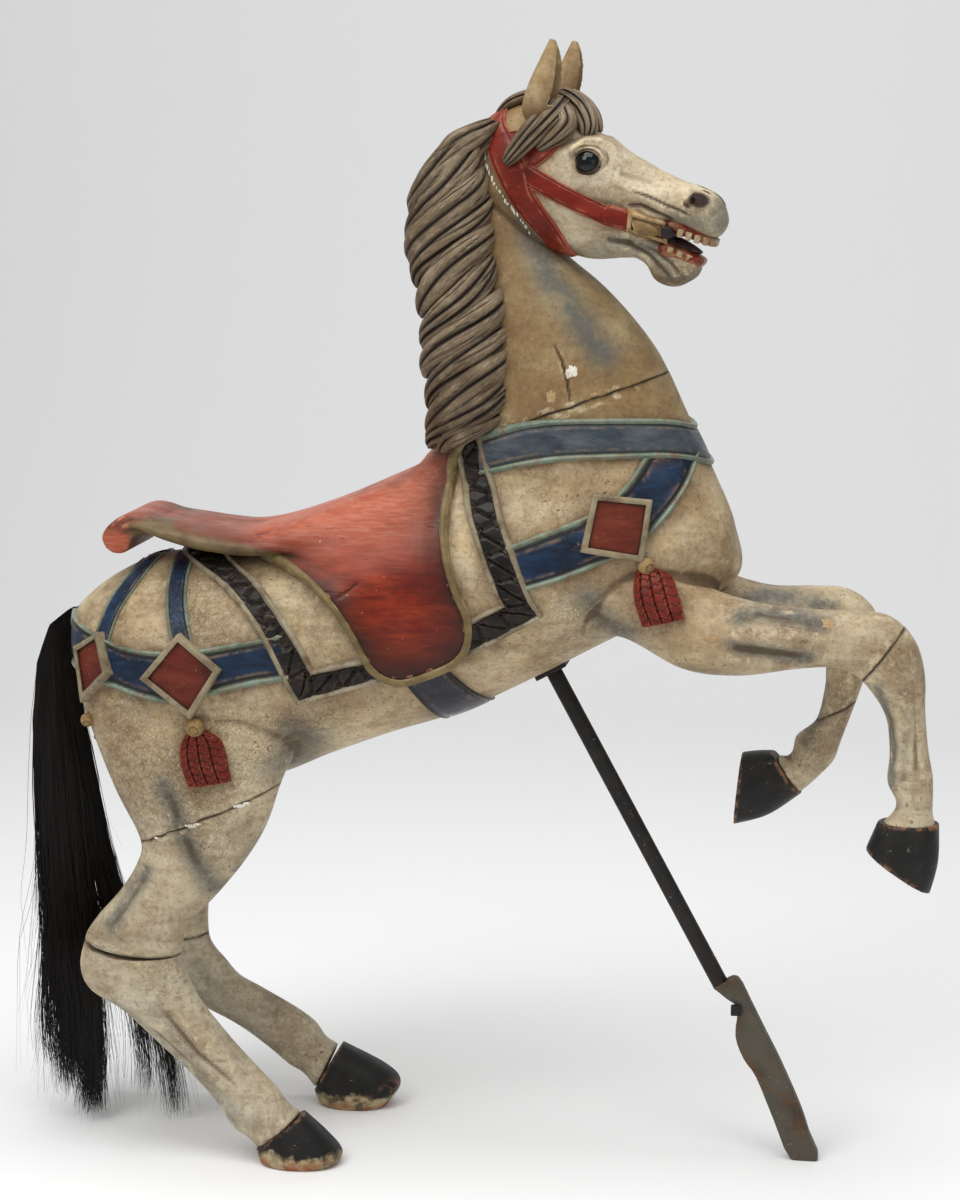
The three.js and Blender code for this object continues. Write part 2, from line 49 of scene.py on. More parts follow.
MM = 0.001
NEAR, FAR = -1, 1
SIDES = ((NEAR, "right"), (FAR, "left"))

# ------------------------------------------------------------------ camera
VIEW_YAW = math.radians(9)
VIEW_DISTANCE = 3.6
VIEW_HEIGHT = 1.312
VIEW_DIP = math.radians(9.485)

eye = Vector((VIEW_DISTANCE * math.sin(VIEW_YAW), -VIEW_DISTANCE * math.cos(VIEW_YAW), VIEW_HEIGHT))
aim = Vector((-math.sin(VIEW_YAW) * math.cos(VIEW_DIP), math.cos(VIEW_YAW) * math.cos(VIEW_DIP),
              -math.sin(VIEW_DIP)))
bpy.ops.object.camera_add(location=eye, rotation=aim.to_track_quat("-Z", "Y").to_euler())
camera = bpy.context.object
camera.name = "studio_camera"
camera.data.lens = 87.1
camera.data.sensor_width = 36
bpy.context.scene.camera = camera

# ------------------------------------------------------------------ carved forms
# Rows of carved limbs. Each is one cross-section: its two ends seen from the side
# (x, z, x, z), half its thickness across the horse, and the y of its middle.
POLL_X = 20
THROAT_SIZE, THROAT_PLACE = (46, 30, 66), (34, 22, 1196)
EYE_X, EYE_Z, EYE_OUT, EYE_RADIUS, LID_Z = 151, 1256, 43, 15.6, 1256.5
NOSTRIL_X, NOSTRIL_Z = 285, 1213
HEAD_TURN = math.radians(-10)
TRUNK = [
    [-522, 688, -512, 632, 34, 0], [-504, 708, -498, 572, 88, 0], [-468, 735, -462, 520, 124, 0],
    [-413, 760, -398, 484, 145, 0], [-350, 768, -325, 471, 151, 0], [-280, 781, -252, 484, 147, 0],
    [-210, 800, -186, 512, 143, 0], [-145, 830, -110, 541, 142, 0], [-98, 853, -26, 569, 140, 0],
    [-78, 867, 64, 612, 136, 0], [-68, 877, 210, 690, 125, 0], [-62, 885, 320, 745, 110, 0],
    [-58, 891, 319, 812, 101, 0], [-55, 896, 293, 876, 97, 0], [-52, 900, 262, 942, 93, 0],
    [-50, 903, 234, 1003, 89, 0], [-46, 962, 216, 1035, 82, 0], [-42, 1022, 187, 1072, 74, 0],
    [-45, 1085, 152, 1108, 67, 0], [-52, 1145, 113, 1139, 60, 0], [-52, 1200, 92, 1158, 56, 0],
    [-34, 1250, 76, 1166, 52, 0],
]
NECK_SEAM = 15
HIND_NEAR = [
    [-498, 655, -240, 665, 58, -72], [-496, 598, -212, 590, 64, -82], [-478, 543, -214, 540, 60, -88],
    [-450, 474, -226, 514, 55, -92], [-418, 410, -238, 486, 50, -95], [-424, 378, -256, 434, 47, -96],
    [-446, 343, -283, 388, 43, -97], [-474, 311, -322, 340, 38, -98], [-490, 288, -358, 301, 36, -99],
    [-494, 275, -368, 262, 36, -99], [-500, 244, -362, 246, 37, -100], [-488, 214, -358, 232, 34, -101],
    [-446, 188, -352, 219, 31, -102], [-400, 149, -340, 199, 28, -104], [-354, 108, -303, 155, 26, -106],
    [-322, 74, -270, 121, 25, -108], [-300, 42, -243, 94, 27, -109], [-282, 31, -231, 76, 28, -110],
    [-267, 16, -213, 63, 30, -110],
]
HOOF_HIND_NEAR = [[-270, 16, -209, 65, 32, -110], [-266, 6, -180, 38, 40, -110],
                  [-264, 1, -160, 14, 42, -110], [-260, 0, -168, 0, 38, -110]]
HIND_FAR = [
    [-498, 655, -250, 665, 58, 72], [-496, 598, -232, 590, 64, 82], [-480, 543, -246, 536, 60, 88],
    [-456, 474, -270, 506, 55, 92], [-428, 410, -288, 462, 50, 95], [-436, 375, -304, 418, 47, 96],
    [-458, 338, -326, 374, 43, 97], [-485, 303, -352, 333, 38, 99], [-505, 262, -380, 292, 36, 100],
    [-512, 222, -384, 234, 35, 101], [-506, 192, -376, 212, 34, 102], [-462, 164, -362, 196, 31, 103],
    [-400, 134, -344, 174, 28, 105], [-345, 106, -315, 158, 26, 107], [-304, 76, -266, 130, 26, 110],
    [-276, 52, -241, 110, 28, 113], [-258, 42, -229, 90, 29, 115], [-241, 20, -212, 80, 31, 117],
]
HOOF_HIND_FAR = [[-243, 18, -206, 83, 33, 118], [-240, 8, -146, 53, 40, 118],
                 [-237, 2, -127, 30, 41, 118], [-230, 0, -146, 0, 35, 118]]
FORE_NEAR = [
    [150, 800, 122, 668, 50, -45], [220, 780, 185, 680, 54, -58], [290, 745, 262, 644, 50, -66],
    [352, 728, 330, 638, 45, -70], [412, 722, 398, 648, 38, -71], [462, 721, 446, 652, 35, -71],
    [503, 719, 468, 645, 35, -71], [530, 703, 480, 636, 34, -71], [548, 676, 492, 622, 32, -71],
    [556, 640, 504, 604, 30, -71], [557, 600, 512, 582, 27, -71], [562, 552, 515, 545, 24, -71],
    [568, 520, 513, 512, 26, -71], [569, 492, 524, 490, 26, -71], [569, 474, 522, 475, 26, -71],
    [574, 455, 506, 458, 30, -71],
]
HOOF_FORE_NEAR = [[577, 462, 503, 462, 30, -71], [577, 415, 493, 437, 37, -71],
                  [568, 375, 489, 427, 39, -71]]
FORE_FAR = [
    [150, 800, 122, 672, 50, 45], [220, 780, 188, 690, 52, 58], [290, 748, 262, 672, 48, 66],
    [355, 728, 340, 664, 42, 70], [415, 728, 398, 662, 37, 70], [455, 726, 428, 656, 34, 70],
    [486, 706, 431, 640, 34, 70], [495, 678, 431, 618, 33, 70], [489, 640, 430, 597, 31, 70],
    [470, 582, 420, 556, 28, 70], [452, 530, 396, 536, 25, 70], [444, 506, 392, 518, 27, 70],
    [426, 485, 385, 507, 27, 70], [402, 462, 370, 509, 30, 70],
]
HOOF_FORE_FAR = [[404, 462, 366, 514, 32, 70], [362, 432, 346, 513, 37, 70],
                 [318, 418, 327, 510, 39, 70]]
SKULL = [
    [-20, 1274, 58, 1164, 46, 0], [14, 1305, 84, 1154, 53, 0], [54, 1326, 112, 1148, 57, 0],
    [96, 1324, 136, 1141, 58, 0], [130, 1300, 156, 1139, 57, 0], [156, 1289, 180, 1141, 50, 0],
    [191, 1268, 200, 1143, 43, 0], [224, 1250, 218, 1160, 37, 0], [253, 1236, 240, 1182, 34, 0],
    [279, 1227, 262, 1178, 36, 0], [303, 1213, 284, 1170, 35, 0], [312, 1190, 301, 1166, 25, 0],
]
JAW = [
    [142, 1190, 146, 1140, 40, 0], [186, 1180, 195, 1142, 34, 0], [214, 1172, 216, 1132, 29, 0],
    [240, 1163, 226, 1114, 27, 0], [262, 1151, 250, 1107, 25, 0], [281, 1138, 274, 1118, 20, 0],
]
EAR = [
    [94, 1292, 76, 1292, 10, 38], [100, 1306, 72, 1306, 13, 42], [109, 1325, 68, 1322, 16, 43],
    [117, 1350, 77, 1350, 17, 44], [118, 1375, 91, 1378, 13, 45], [110, 1400, 103, 1402, 4, 45],
]
MANE = [
    [12, 1302, 36, 1290, 20, -14], [-40, 1272, 16, 1256, 44, -24], [-77, 1205, 24, 1211, 56, -26],
    [-80, 1166, 31, 1172, 60, -26], [-69, 1100, 43, 1095, 66, -26], [-60, 1030, 51, 1030, 70, -26],
    [-58, 965, 54, 970, 72, -26], [-56, 910, 34, 940, 66, -26],
]
SEAT = [
    [-460, 804, -452, 791, 60, 0], [-430, 815, -422, 797, 80, 0], [-388, 812, -380, 783, 95, 0],
    [-335, 805, -330, 772, 105, 0], [-285, 803, -280, 768, 110, 0], [-230, 818, -224, 773, 113, 0],
    [-170, 840, -158, 792, 102, 0], [-106, 868, -94, 818, 82, 0], [-66, 886, -52, 850, 52, 0],
    [-44, 898, -38, 872, 24, 0],
]
TAIL = [
    [-528, 690, -520, 668, 12, 0], [-556, 668, -530, 650, 20, 0], [-573, 620, -536, 612, 24, 0],
    [-580, 545, -526, 545, 28, 0], [-582, 450, -511, 450, 32, 0], [-581, 350, -503, 350, 34, 0],
    [-576, 240, -492, 240, 34, 0], [-564, 140, -486, 140, 28, 0], [-552, 62, -488, 62, 18, 0],
]


def smooth_rows(rows, steps):
    rows = np.array(rows, float)
    last = len(rows) - 1
    out = []
    for i in range(last):
        p0, p1, p2, p3 = rows[max(i - 1, 0)], rows[i], rows[i + 1], rows[min(i + 2, last)]
        for k in range(steps):
            t = k / steps
            out.append(0.5 * (2 * p1 + (p2 - p0) * t + (2 * p0 - 5 * p1 + 4 * p2 - p3) * t ** 2
                              + (3 * p1 - p0 - 3 * p2 + p3) * t ** 3))
    out.append(rows[-1])
    return np.array(out)


def yawed(points, angle):
    """Points turned about the upright axis of the poll."""
    out = np.array(points, float)
    x, y = out[..., 0] - POLL_X, out[..., 1].copy()
    out[..., 0] = POLL_X + x * np.cos(angle) - y * np.sin(angle)
    out[..., 1] = x * np.sin(angle) + y * np.cos(angle)
    return out


def rings(rows, sides=72, steps=8, square=2.2, lift=0.0, turn=(0.0, 0.0)):
    r = smooth_rows(rows, steps)
    angle = np.linspace(0, 2 * np.pi, sides, endpoint=False)
    c, s = (np.sign(v) * np.abs(v) ** (2 / square) for v in (np.cos(angle), np.sin(angle)))
    arm, middle = (r[:, :2] - r[:, 2:4]) / 2, (r[:, :2] + r[:, 2:4]) / 2
    length = np.linalg.norm(arm, axis=1, keepdims=True)
    arm = arm * (length + lift) / length
    points = np.stack([middle[:, :1] + arm[:, :1] * c, r[:, 5:6] + (r[:, 4:5] + lift) * s,
                       middle[:, 1:2] + arm[:, 1:2] * c], -1)
    return yawed(points, np.linspace(turn[0], turn[1], len(r))[:, None])


def mesh_piece(name, points, faces):
    """A mesh object from points in millimetres."""
    mesh = bpy.data.meshes.new(name)
    mesh.from_pydata((np.asarray(points, float).reshape(-1, 3) * MM).tolist(), [], faces)
    mesh.validate()
    piece = bpy.data.objects.new(name, mesh)
    bpy.context.scene.collection.objects.link(piece)
    return piece


def tube(name, r):
    """A closed skin over rings of points, its faces turned outwards."""
    n, m = r.shape[:2]
    i, j = np.meshgrid(np.arange(n - 1) * m, np.arange(m), indexing="ij")
    k = (j + 1) % m
    quads = np.stack([i + j, i + k, i + m + k, i + m + j], -1).reshape(-1, 4)
    points = np.concatenate([r.reshape(-1, 3), [r[0].mean(0)], [r[-1].mean(0)]])
    a, b, c = points[quads[:, 0]], points[quads[:, 1]], points[quads[:, 2]]
    outward = np.einsum("ij,ij->i", a - points.mean(0), np.cross(b - a, c - a)).sum() > 0
    side = np.arange(m)
    first = np.stack([np.full(m, n * m), (side + 1) % m, side], -1)
    end = np.stack([np.full(m, n * m + 1), side, (side + 1) % m], -1) + [0, (n - 1) * m, (n - 1) * m]
    faces = [*quads.tolist(), *first.tolist(), *end.tolist()]
    return mesh_piece(name, points, faces if outward else [f[::-1] for f in faces])


def limb(name, rows, **shape):
    return tube(name, rings(rows, **shape))


# ------------------------------------------------------------------ working tools
def only(*pieces):
    bpy.ops.object.select_all(action="DESELECT")
    for piece in pieces:
        piece.select_set(True)
    bpy.context.view_layer.objects.active = pieces[0]
    return pieces[0]


def primitive(name, kind, **settings):
    """A primitive added with nothing else selected."""
    bpy.ops.object.select_all(action="DESELECT")
    getattr(bpy.ops.mesh, f"primitive_{kind}_add")(**settings)
    bpy.context.object.name = name
    return bpy.context.object


def copied(piece, name):
    twin = piece.copy()
    twin.data = piece.data.copy()
    twin.name = name
    bpy.context.scene.collection.objects.link(twin)
    return twin


def worked(piece, kind, **settings):
    """One modifier put on and applied."""
    only(piece)
    modifier = piece.modifiers.new(kind.title(), kind)
    for key, value in settings.items():
        setattr(modifier, key, value)
    bpy.ops.object.modifier_apply(modifier=modifier.name)
    return piece


def joined(name, pieces):
    piece = only(*pieces)
    bpy.ops.object.join()
    piece.name = name
    return piece


def softened(piece, voxel, rounds):
    worked(piece, "REMESH", mode="VOXEL", voxel_size=voxel * MM)
    return worked(piece, "SMOOTH", factor=0.5, iterations=rounds)


def fused(name, pieces, voxel, rounds):
    """Overlapping forms made one carved skin."""
    return softened(joined(name, pieces), voxel, rounds)


def cut(piece, tool, operation="DIFFERENCE"):
    """Cuts a tool out of a piece, or keeps what lies in both, and uses the tool up."""
    worked(piece, "BOOLEAN", object=tool, operation=operation, solver="MANIFOLD")
    bpy.data.objects.remove(tool)
    return piece


def side_block(name, outline, y0, y1):
    """A side outline cut straight across, from y0 to y1."""
    line = np.array(outline, float)
    turn = np.sum(line[:, 0] * np.roll(line[:, 1], -1) - np.roll(line[:, 0], -1) * line[:, 1])
    if turn < 0:
        line = line[::-1]
    n = len(line)
    points = [(x, y, z) for y in (y0, y1) for x, z in line]
    walls = [[(i + 1) % n, i, n + i, n + (i + 1) % n] for i in range(n)]
    return mesh_piece(name, points, [list(range(n)), list(range(2 * n - 1, n - 1, -1)), *walls])


def get(piece, what="co"):
    mesh = piece.data
    source = mesh.vertices if what == "co" else mesh.vertex_normals
    out = np.zeros(len(mesh.vertices) * 3, np.float32)
    source.foreach_get("co" if what == "co" else "vector", out)
    return out.reshape(-1, 3).astype(float) * (1 / MM if what == "co" else 1)


def put(piece, points):
    piece.data.vertices.foreach_set("co", (points * MM).astype(np.float32).ravel())
    piece.data.update()


def edge_pairs(piece):
    out = np.zeros(len(piece.data.edges) * 2, np.int32)
    piece.data.edges.foreach_get("vertices", out)
    return out.reshape(-1, 2)


def evened(values, pairs, rounds):
    """Values, one or three a corner, evened out with their neighbours'."""
    values = np.array(values, float)
    flat = values.reshape(len(values), -1)
    count = np.bincount(pairs.ravel(), minlength=len(values))[:, None].clip(1)
    for _ in range(rounds):
        total = np.stack([np.bincount(pairs[:, 0], flat[pairs[:, 1], c], len(values))
                          + np.bincount(pairs[:, 1], flat[pairs[:, 0], c], len(values))
                          for c in range(flat.shape[1])], -1)
        flat = 0.5 * flat + 0.5 * total / count
    return flat.reshape(values.shape)


def mark(piece, name, values):
    attribute = piece.data.attributes.get(name) or piece.data.attributes.new(name, "FLOAT", "POINT")
    attribute.data.foreach_set("value", np.asarray(values, np.float32))


def weather(piece, fine=3, broad=24, scale=1.0):
    """Marks how far each corner lies in a hollow and how far it stands out on an edge."""
    points, normals, pairs = get(piece), get(piece, "normal"), edge_pairs(piece)
    near = evened(points, pairs, fine)
    wide = evened(near, pairs, broad)
    sunk = np.einsum("ij,ij->i", near - points, normals) * 5 + np.einsum("ij,ij->i", wide - points, normals)
    mark(piece, "hollow", np.clip(sunk * scale * 0.5, 0, 1))
    mark(piece, "ridge", np.clip(-sunk * scale * 0.5, 0, 1))


def eased(values, low, high):
    """0 up to low and 1 from high on, with a soft run between."""
    t = np.clip((values - low) / (high - low), 0, 1)
    return t * t * (3 - 2 * t)


def line_distance(points, line):
    """Distance of side-view points from a line, and how far along it they lie, 0 to 1."""
    line = np.array(line, float)
    best = np.full(len(points), 1e9)
    along = np.zeros(len(points))
    lengths = np.linalg.norm(np.diff(line, axis=0), axis=1)
    total, run = lengths.sum(), 0.0
    for a, b, length in zip(line[:-1], line[1:], lengths):
        t = np.clip(((points - a) @ (b - a)) / length ** 2, 0, 1)
        d = np.linalg.norm(points - a - t[:, None] * (b - a), axis=1)
        nearer = d < best
        best[nearer] = d[nearer]
        along[nearer] = ((run + t * length) / total)[nearer]
        run += length
    return best, along


def gouge(piece, strokes, turn=0.0):
    """Carves strokes seen from the side: (line, width, depth, side). A depth below 0 raises."""
    points, normals = get(piece), get(piece, "normal")
    local, facing = yawed(points, -turn), yawed(normals + [POLL_X, 0, 0], -turn)[:, 1]
    moved = points.copy()
    for line, width, depth, side in strokes:
        distance, along = line_distance(local[:, [0, 2]], line)
        ends = np.sin(np.pi * np.clip(along, 0.02, 0.98)) ** 0.5
        aware = np.clip(facing * side * 2.2, 0, 1) * (local[:, 1] * side > -20)
        moved -= normals * (depth * ends * aware * np.exp(-(distance / width) ** 2))[:, None]
    put(piece, moved)


def dented(piece, centre, radius, depth):
    """A round dent, or a swelling where depth is below 0, about a point of the unturned head."""
    points, normals = get(piece), get(piece, "normal")
    distance = np.linalg.norm(points - yawed(np.array(centre, float), HEAD_TURN), axis=1)
    put(piece, points - normals * (depth * np.exp(-(distance / radius) ** 2))[:, None])


def tree_of(piece):
    faces = [list(p.vertices) for p in piece.data.polygons]
    return BVHTree.FromPolygons([v.co / MM for v in piece.data.vertices], faces)


def smooth_faces(piece):
    only(piece)
    bpy.ops.object.shade_smooth_by_angle(angle=math.radians(40))


# ------------------------------------------------------------------ the carved horse
SEAM_GAP, SEAM_WIDE = 1.0, 2.3
random.seed(7)


def rough_line(a, b, count=26, rough=1.0):
    """A glue line from a to b that wanders a little."""
    line = [(a[0] + (b[0] - a[0]) * i / count, a[1] + (b[1] - a[1]) * i / count) for i in range(count + 1)]
    return [(x + random.uniform(-rough, rough) * 0.3, z + random.uniform(-rough, rough)) for x, z in line]


def shifted(line, dx, dz):
    return [(x + dx, z + dz) for x, z in line]


whole = fused("body", [
    limb("trunk", TRUNK[:NECK_SEAM + 4]), limb("near_hind", HIND_NEAR), limb("far_hind", HIND_FAR),
    limb("near_fore", FORE_NEAR), limb("far_fore", FORE_FAR),
], 3.4, 10)

LEG_STROKES = [
    ([(330, 713), (358, 721), (394, 716), (438, 708)], 11, 7, NEAR),
    ([(322, 680), (358, 675), (394, 670), (420, 668)], 10, 6, NEAR),
    ([(326, 698), (380, 695), (440, 690)], 8, -3, NEAR),
    ([(500, 630), (513, 593), (520, 557), (517, 507)], 6, 3.5, NEAR),
    ([(542, 640), (547, 580), (548, 508)], 6, 3, NEAR),
    ([(-401, 376), (-425, 345), (-449, 305)], 12, 6, NEAR),
    ([(-374, 491), (-358, 447), (-337, 396), (-319, 359)], 13, 4, NEAR),
    ([(-364, 273), (-339, 209), (-288, 133), (-250, 82)], 8, 3, NEAR),
    ([(-452, 200), (-390, 160), (-330, 108), (-300, 70)], 7, 3, NEAR),
    ([(-395, 210), (-341, 143), (-273, 90)], 8, 3, NEAR),
    ([(-220, 561), (-204, 545), (-222, 516)], 20, 5, NEAR),
    ([(152, 720), (171, 702), (189, 694)], 16, 5, NEAR),
    ([(262, 770), (300, 752), (330, 742)], 14, 4, NEAR),
    ([(300, 880), (310, 830), (308, 780)], 14, -4, NEAR),
    ([(334, 712), (380, 712), (435, 706)], 8, 3, FAR),
    ([(-370, 491), (-345, 440), (-330, 390)], 13, 3, FAR),
]
gouge(whole, LEG_STROKES)
carved_tree = tree_of(whole)

# Blocks that part the legs and the neck from the body along their glue lines
thigh_near = rough_line((-440, 399), (-215, 497), rough=1.6)
hock_near = [(-520, 286), (-500, 281), (-470, 273), (-430, 266), (-400, 264), (-350, 263)]
thigh_far = rough_line((-450, 400), (-265, 469))
hock_far = rough_line((-530, 221), (-360, 235))
knee_near = rough_line((545, 723), (466, 618))
knee_far = rough_line((492, 594), (398, 546))
neck_root = rough_line((-90, 889), (260, 1012), rough=1.4)


def leg_piece(name, line, lower, reach):
    """What of the whole horse lies below a glue line."""
    return cut(copied(whole, name), side_block("block", [*line, *lower], *reach), "INTERSECT")


def parted(piece, line, lower, reach, gap):
    """Cuts away what lies below a glue line, with the gap (along, up) kept clear."""
    return cut(piece, side_block("block", [*shifted(line, *gap), *lower], *reach))


LOW_HIND = [(-150, 480), (-100, -60), (-600, -60), (-600, 330), (-470, 395)]
LOW_HOCK = [(-130, 240), (-100, -60), (-600, -60), (-600, 280)]
LOW_KNEE = [(430, 610), (430, 330), (640, 330), (640, 723)]
LOW_FAR_KNEE = [(360, 540), (280, 470), (280, 360), (560, 360), (560, 594)]
HIND_REACH, FORE_REACH, MID_GAP = 230, 200, 2
PARTS = [  # name, glue line, outline below it, reach across the horse, gap
    ("hind_thigh_right", thigh_near, LOW_HIND, (-HIND_REACH, -MID_GAP), (0, SEAM_GAP)),
    ("hind_thigh_left", thigh_far, LOW_HIND, (MID_GAP, HIND_REACH), (0, SEAM_GAP)),
    ("fore_shank_right", knee_near, LOW_KNEE, (-FORE_REACH, -MID_GAP), (-0.8, 0.6)),
    ("fore_shank_left", knee_far, LOW_FAR_KNEE, (MID_GAP, FORE_REACH), (0, SEAM_GAP)),
]
hind_near, hind_far, fore_near, fore_far = (leg_piece(*row[:4]) for row in PARTS)
for _, line, lower, reach, gap in PARTS:
    parted(whole, line, lower, reach, gap)
parted(whole, neck_root, [(420, 1080), (420, 1300), (-200, 1300), (-200, 889)], (-200, 200), (0, -0.6))


def halves(piece, name, line, reach, gap):
    """A hind leg parted once more, at its hock."""
    low = cut(copied(piece, name), side_block("block", [*shifted(line, 0, -gap), *LOW_HOCK], *reach),
              "INTERSECT")
    parted(piece, line, LOW_HOCK, reach, (0, 0))
    return low


shank_near = halves(hind_near, "hind_shank_right", hock_near, (-HIND_REACH, -MID_GAP), 1.0)
shank_far = halves(hind_far, "hind_shank_left", hock_far, (MID_GAP, HIND_REACH), 0.8)
# the near glue line has sprung open at the back of the hock
SPRUNG = [(-540, 300), (-372, 264.5), (-372, 262.4), (-392, 261), (-420, 260), (-450, 262), (-478, 268),
          (-504, 277.5), (-540, 288)]
cut(shank_near, side_block("wedge", SPRUNG, -HIND_REACH, -MID_GAP))

head_turn = (HEAD_TURN, HEAD_TURN)
throat = primitive("throat", "uv_sphere", segments=48, ring_count=32, radius=1 * MM)
put(throat, get(throat) * THROAT_SIZE + THROAT_PLACE)
neck = fused("head_and_neck", [
    limb("neck", TRUNK[NECK_SEAM - 1:], turn=(0, HEAD_TURN)),
    limb("skull", SKULL, turn=head_turn), limb("jaw", JAW, turn=head_turn), throat,
], 2.3, 10)
parted(neck, neck_root, [(300, 800), (-200, 760)], (-200, 200), (0, 0.4))

HEAD_STROKES = [
    ([(120, 1262), (133, 1272), (146, 1279), (161, 1279), (174, 1271), (186, 1258)], 6, -7, NEAR),
    ([(127, 1252), (142, 1242), (160, 1240), (174, 1249)], 4, -2.5, NEAR),
    ([(176, 1238), (200, 1226), (235, 1208), (262, 1196)], 7, -4, NEAR),
    ([(206, 1222), (226, 1215), (248, 1205), (276, 1195)], 2.6, 3.6, NEAR),
    ([(201, 1206), (216, 1206), (232, 1198), (251, 1189)], 2.6, 3.6, NEAR),
    ([(150, 1216), (175, 1208), (200, 1202)], 9, 3, NEAR),
    ([(177, 1164), (200, 1160), (225, 1146), (240, 1129), (250, 1117)], 4, 4.5, NEAR),
    ([(212, 1158), (231, 1152), (249, 1138), (262, 1123)], 3.5, 4, NEAR),
    ([(180, 1176), (205, 1170), (228, 1160)], 6, -3, NEAR),
    ([(96, 1160), (120, 1158), (150, 1155), (172, 1158)], 14, -4, NEAR),
    ([(186, 1246), (215, 1238), (246, 1226)], 8, 3, NEAR),
    ([(266, 1224), (284, 1231), (300, 1222), (305, 1206)], 5, -4, NEAR),
    ([(120, 1262), (140, 1280), (161, 1281), (180, 1268)], 6, -6, FAR),
    ([(176, 1238), (200, 1226), (235, 1208), (262, 1196)], 7, -4, FAR),
    ([(206, 1222), (226, 1215), (248, 1205), (276, 1195)], 3, 3, FAR),
    ([(177, 1164), (200, 1160), (225, 1146), (240, 1129)], 5, 3.5, FAR),
]
gouge(neck, HEAD_STROKES, HEAD_TURN)
for side in (NEAR, FAR):
    dented(neck, (151, side * 56, 1257), 15, 9)
    dented(neck, (288, side * 37, 1214), 13, 3)
    dented(neck, (272, side * 40, 1206), 9, -3)
gouge(neck, [
    ([(-30, 1010), (20, 1080), (40, 1130)], 20, 2, NEAR),
    ([(120, 1090), (160, 1045), (200, 1010)], 22, 2, NEAR),
    ([(104, 1038), (113, 1020), (120, 996), (124, 972)], 1.6, 4, NEAR),
])

for side in (NEAR, FAR):
    hole = tube("hole", yawed(np.stack([
        np.stack([NOSTRIL_X - 5 * k + (10.5 - k) * np.cos(a), side * (60 - 12 * k) + 0 * a,
                  NOSTRIL_Z - 1.5 * k + (9.0 - k) * np.sin(a) + 2.5 * np.cos(a)], -1)
        for k in range(4) for a in [np.linspace(0, 2 * np.pi, 32, endpoint=False)]]), HEAD_TURN))
    cut(neck, hole)
head_tree = tree_of(neck)

# ------------------------------------------------------------------ relief laid on the carving
STATIONS = smooth_rows(TRUNK, 12)


def located(points):
    """Side-view points as (station, across) on the trunk: across is 1 on its back, -1 below."""
    points = np.array(points, float)
    a, b = STATIONS[:, :2], STATIONS[:, 2:4]
    d = b - a
    side = d[:, 0] * (points[:, 1:2] - a[:, 1]) - d[:, 1] * (points[:, :1] - a[:, 0])
    out = []
    for p, row in zip(points, side):
        best = None
        for i in np.nonzero(row[:-1] * row[1:] <= 0)[0]:
            t = i + row[i] / (row[i] - row[i + 1] + 1e-12)
            r = station(np.array([t]))[0]
            arm, middle = (r[:2] - r[2:4]) / 2, (r[:2] + r[2:4]) / 2
            c = (p - middle) @ arm / (arm @ arm)
            if best is None or abs(c) < abs(best[1]):
                best = (t, c)
        out.append(best or (0.0, 0.0))
    return np.array(out)


def station(t):
    t = np.clip(t, 0, len(STATIONS) - 1.001)
    low = t.astype(int)
    f = (t - low)[..., None]
    return STATIONS[low] * (1 - f) + STATIONS[low + 1] * f


def unit(ways):
    return ways / np.linalg.norm(ways, axis=-1, keepdims=True)


def runs(line):
    """How far along a line each of its points lies."""
    return np.concatenate([[0], np.cumsum(np.linalg.norm(np.diff(line, axis=0), axis=1))])


def resampled(line, count):
    """A line as count points, evenly spaced along it."""
    line = np.array(line, float)
    run = runs(line)
    at = np.linspace(0, run[-1], count)
    return np.stack([np.interp(at, run, line[:, c]) for c in range(line.shape[1])], -1)


def rounded(line, steps=6):
    """A smooth line through its points."""
    return smooth_rows([[*p, 0, 0, 0, 0] for p in line], steps)[:, :2]


def coat_edge(line, count):
    """An outline on the trunk as (station, angle), ended where it passes out of sight."""
    fine = resampled(line, 300)
    tc = located(fine)
    seen = np.abs(tc[:, 1]) <= 1.0
    tc, fine = tc[seen], fine[seen]
    theta = np.arccos(np.sign(tc[:, 1]) * np.abs(tc[:, 1]) ** 1.1)
    middle = station(tc[:, 0])
    points = np.column_stack([fine[:, 0], middle[:, 4] * np.sin(theta), fine[:, 1]])
    run = runs(points)
    at = np.linspace(0, run[-1], count)
    return np.stack([np.interp(at, run, tc[:, 0]), np.interp(at, run, theta)], -1)


def on_coat(te, side):
    """Points on the carved body at (station, angle), and the way out from the trunk there."""
    t, theta = te[..., 0], te[..., 1]
    r = station(t)
    c, s = (np.sign(v) * np.abs(v) ** (1 / 1.1) for v in (np.cos(theta), np.sin(theta)))
    middle = np.stack([(r[..., 0] + r[..., 2]) / 2, np.zeros_like(t), (r[..., 1] + r[..., 3]) / 2], -1)
    out = np.stack([(r[..., 0] - r[..., 2]) / 2 * c, side * r[..., 4] * s,
                    (r[..., 1] - r[..., 3]) / 2 * c], -1)
    flat_m, flat_o = middle.reshape(-1, 3), out.reshape(-1, 3)
    hits = []
    for m, o in zip(flat_m, flat_o):
        start = Vector(m + o * 1.5)
        hit = carved_tree.ray_cast(start, Vector(-o))[0]
        hits.append(m + o if hit is None or (hit - Vector(m + o)).length > 30 else hit)
    return np.array(hits, float).reshape(middle.shape), out


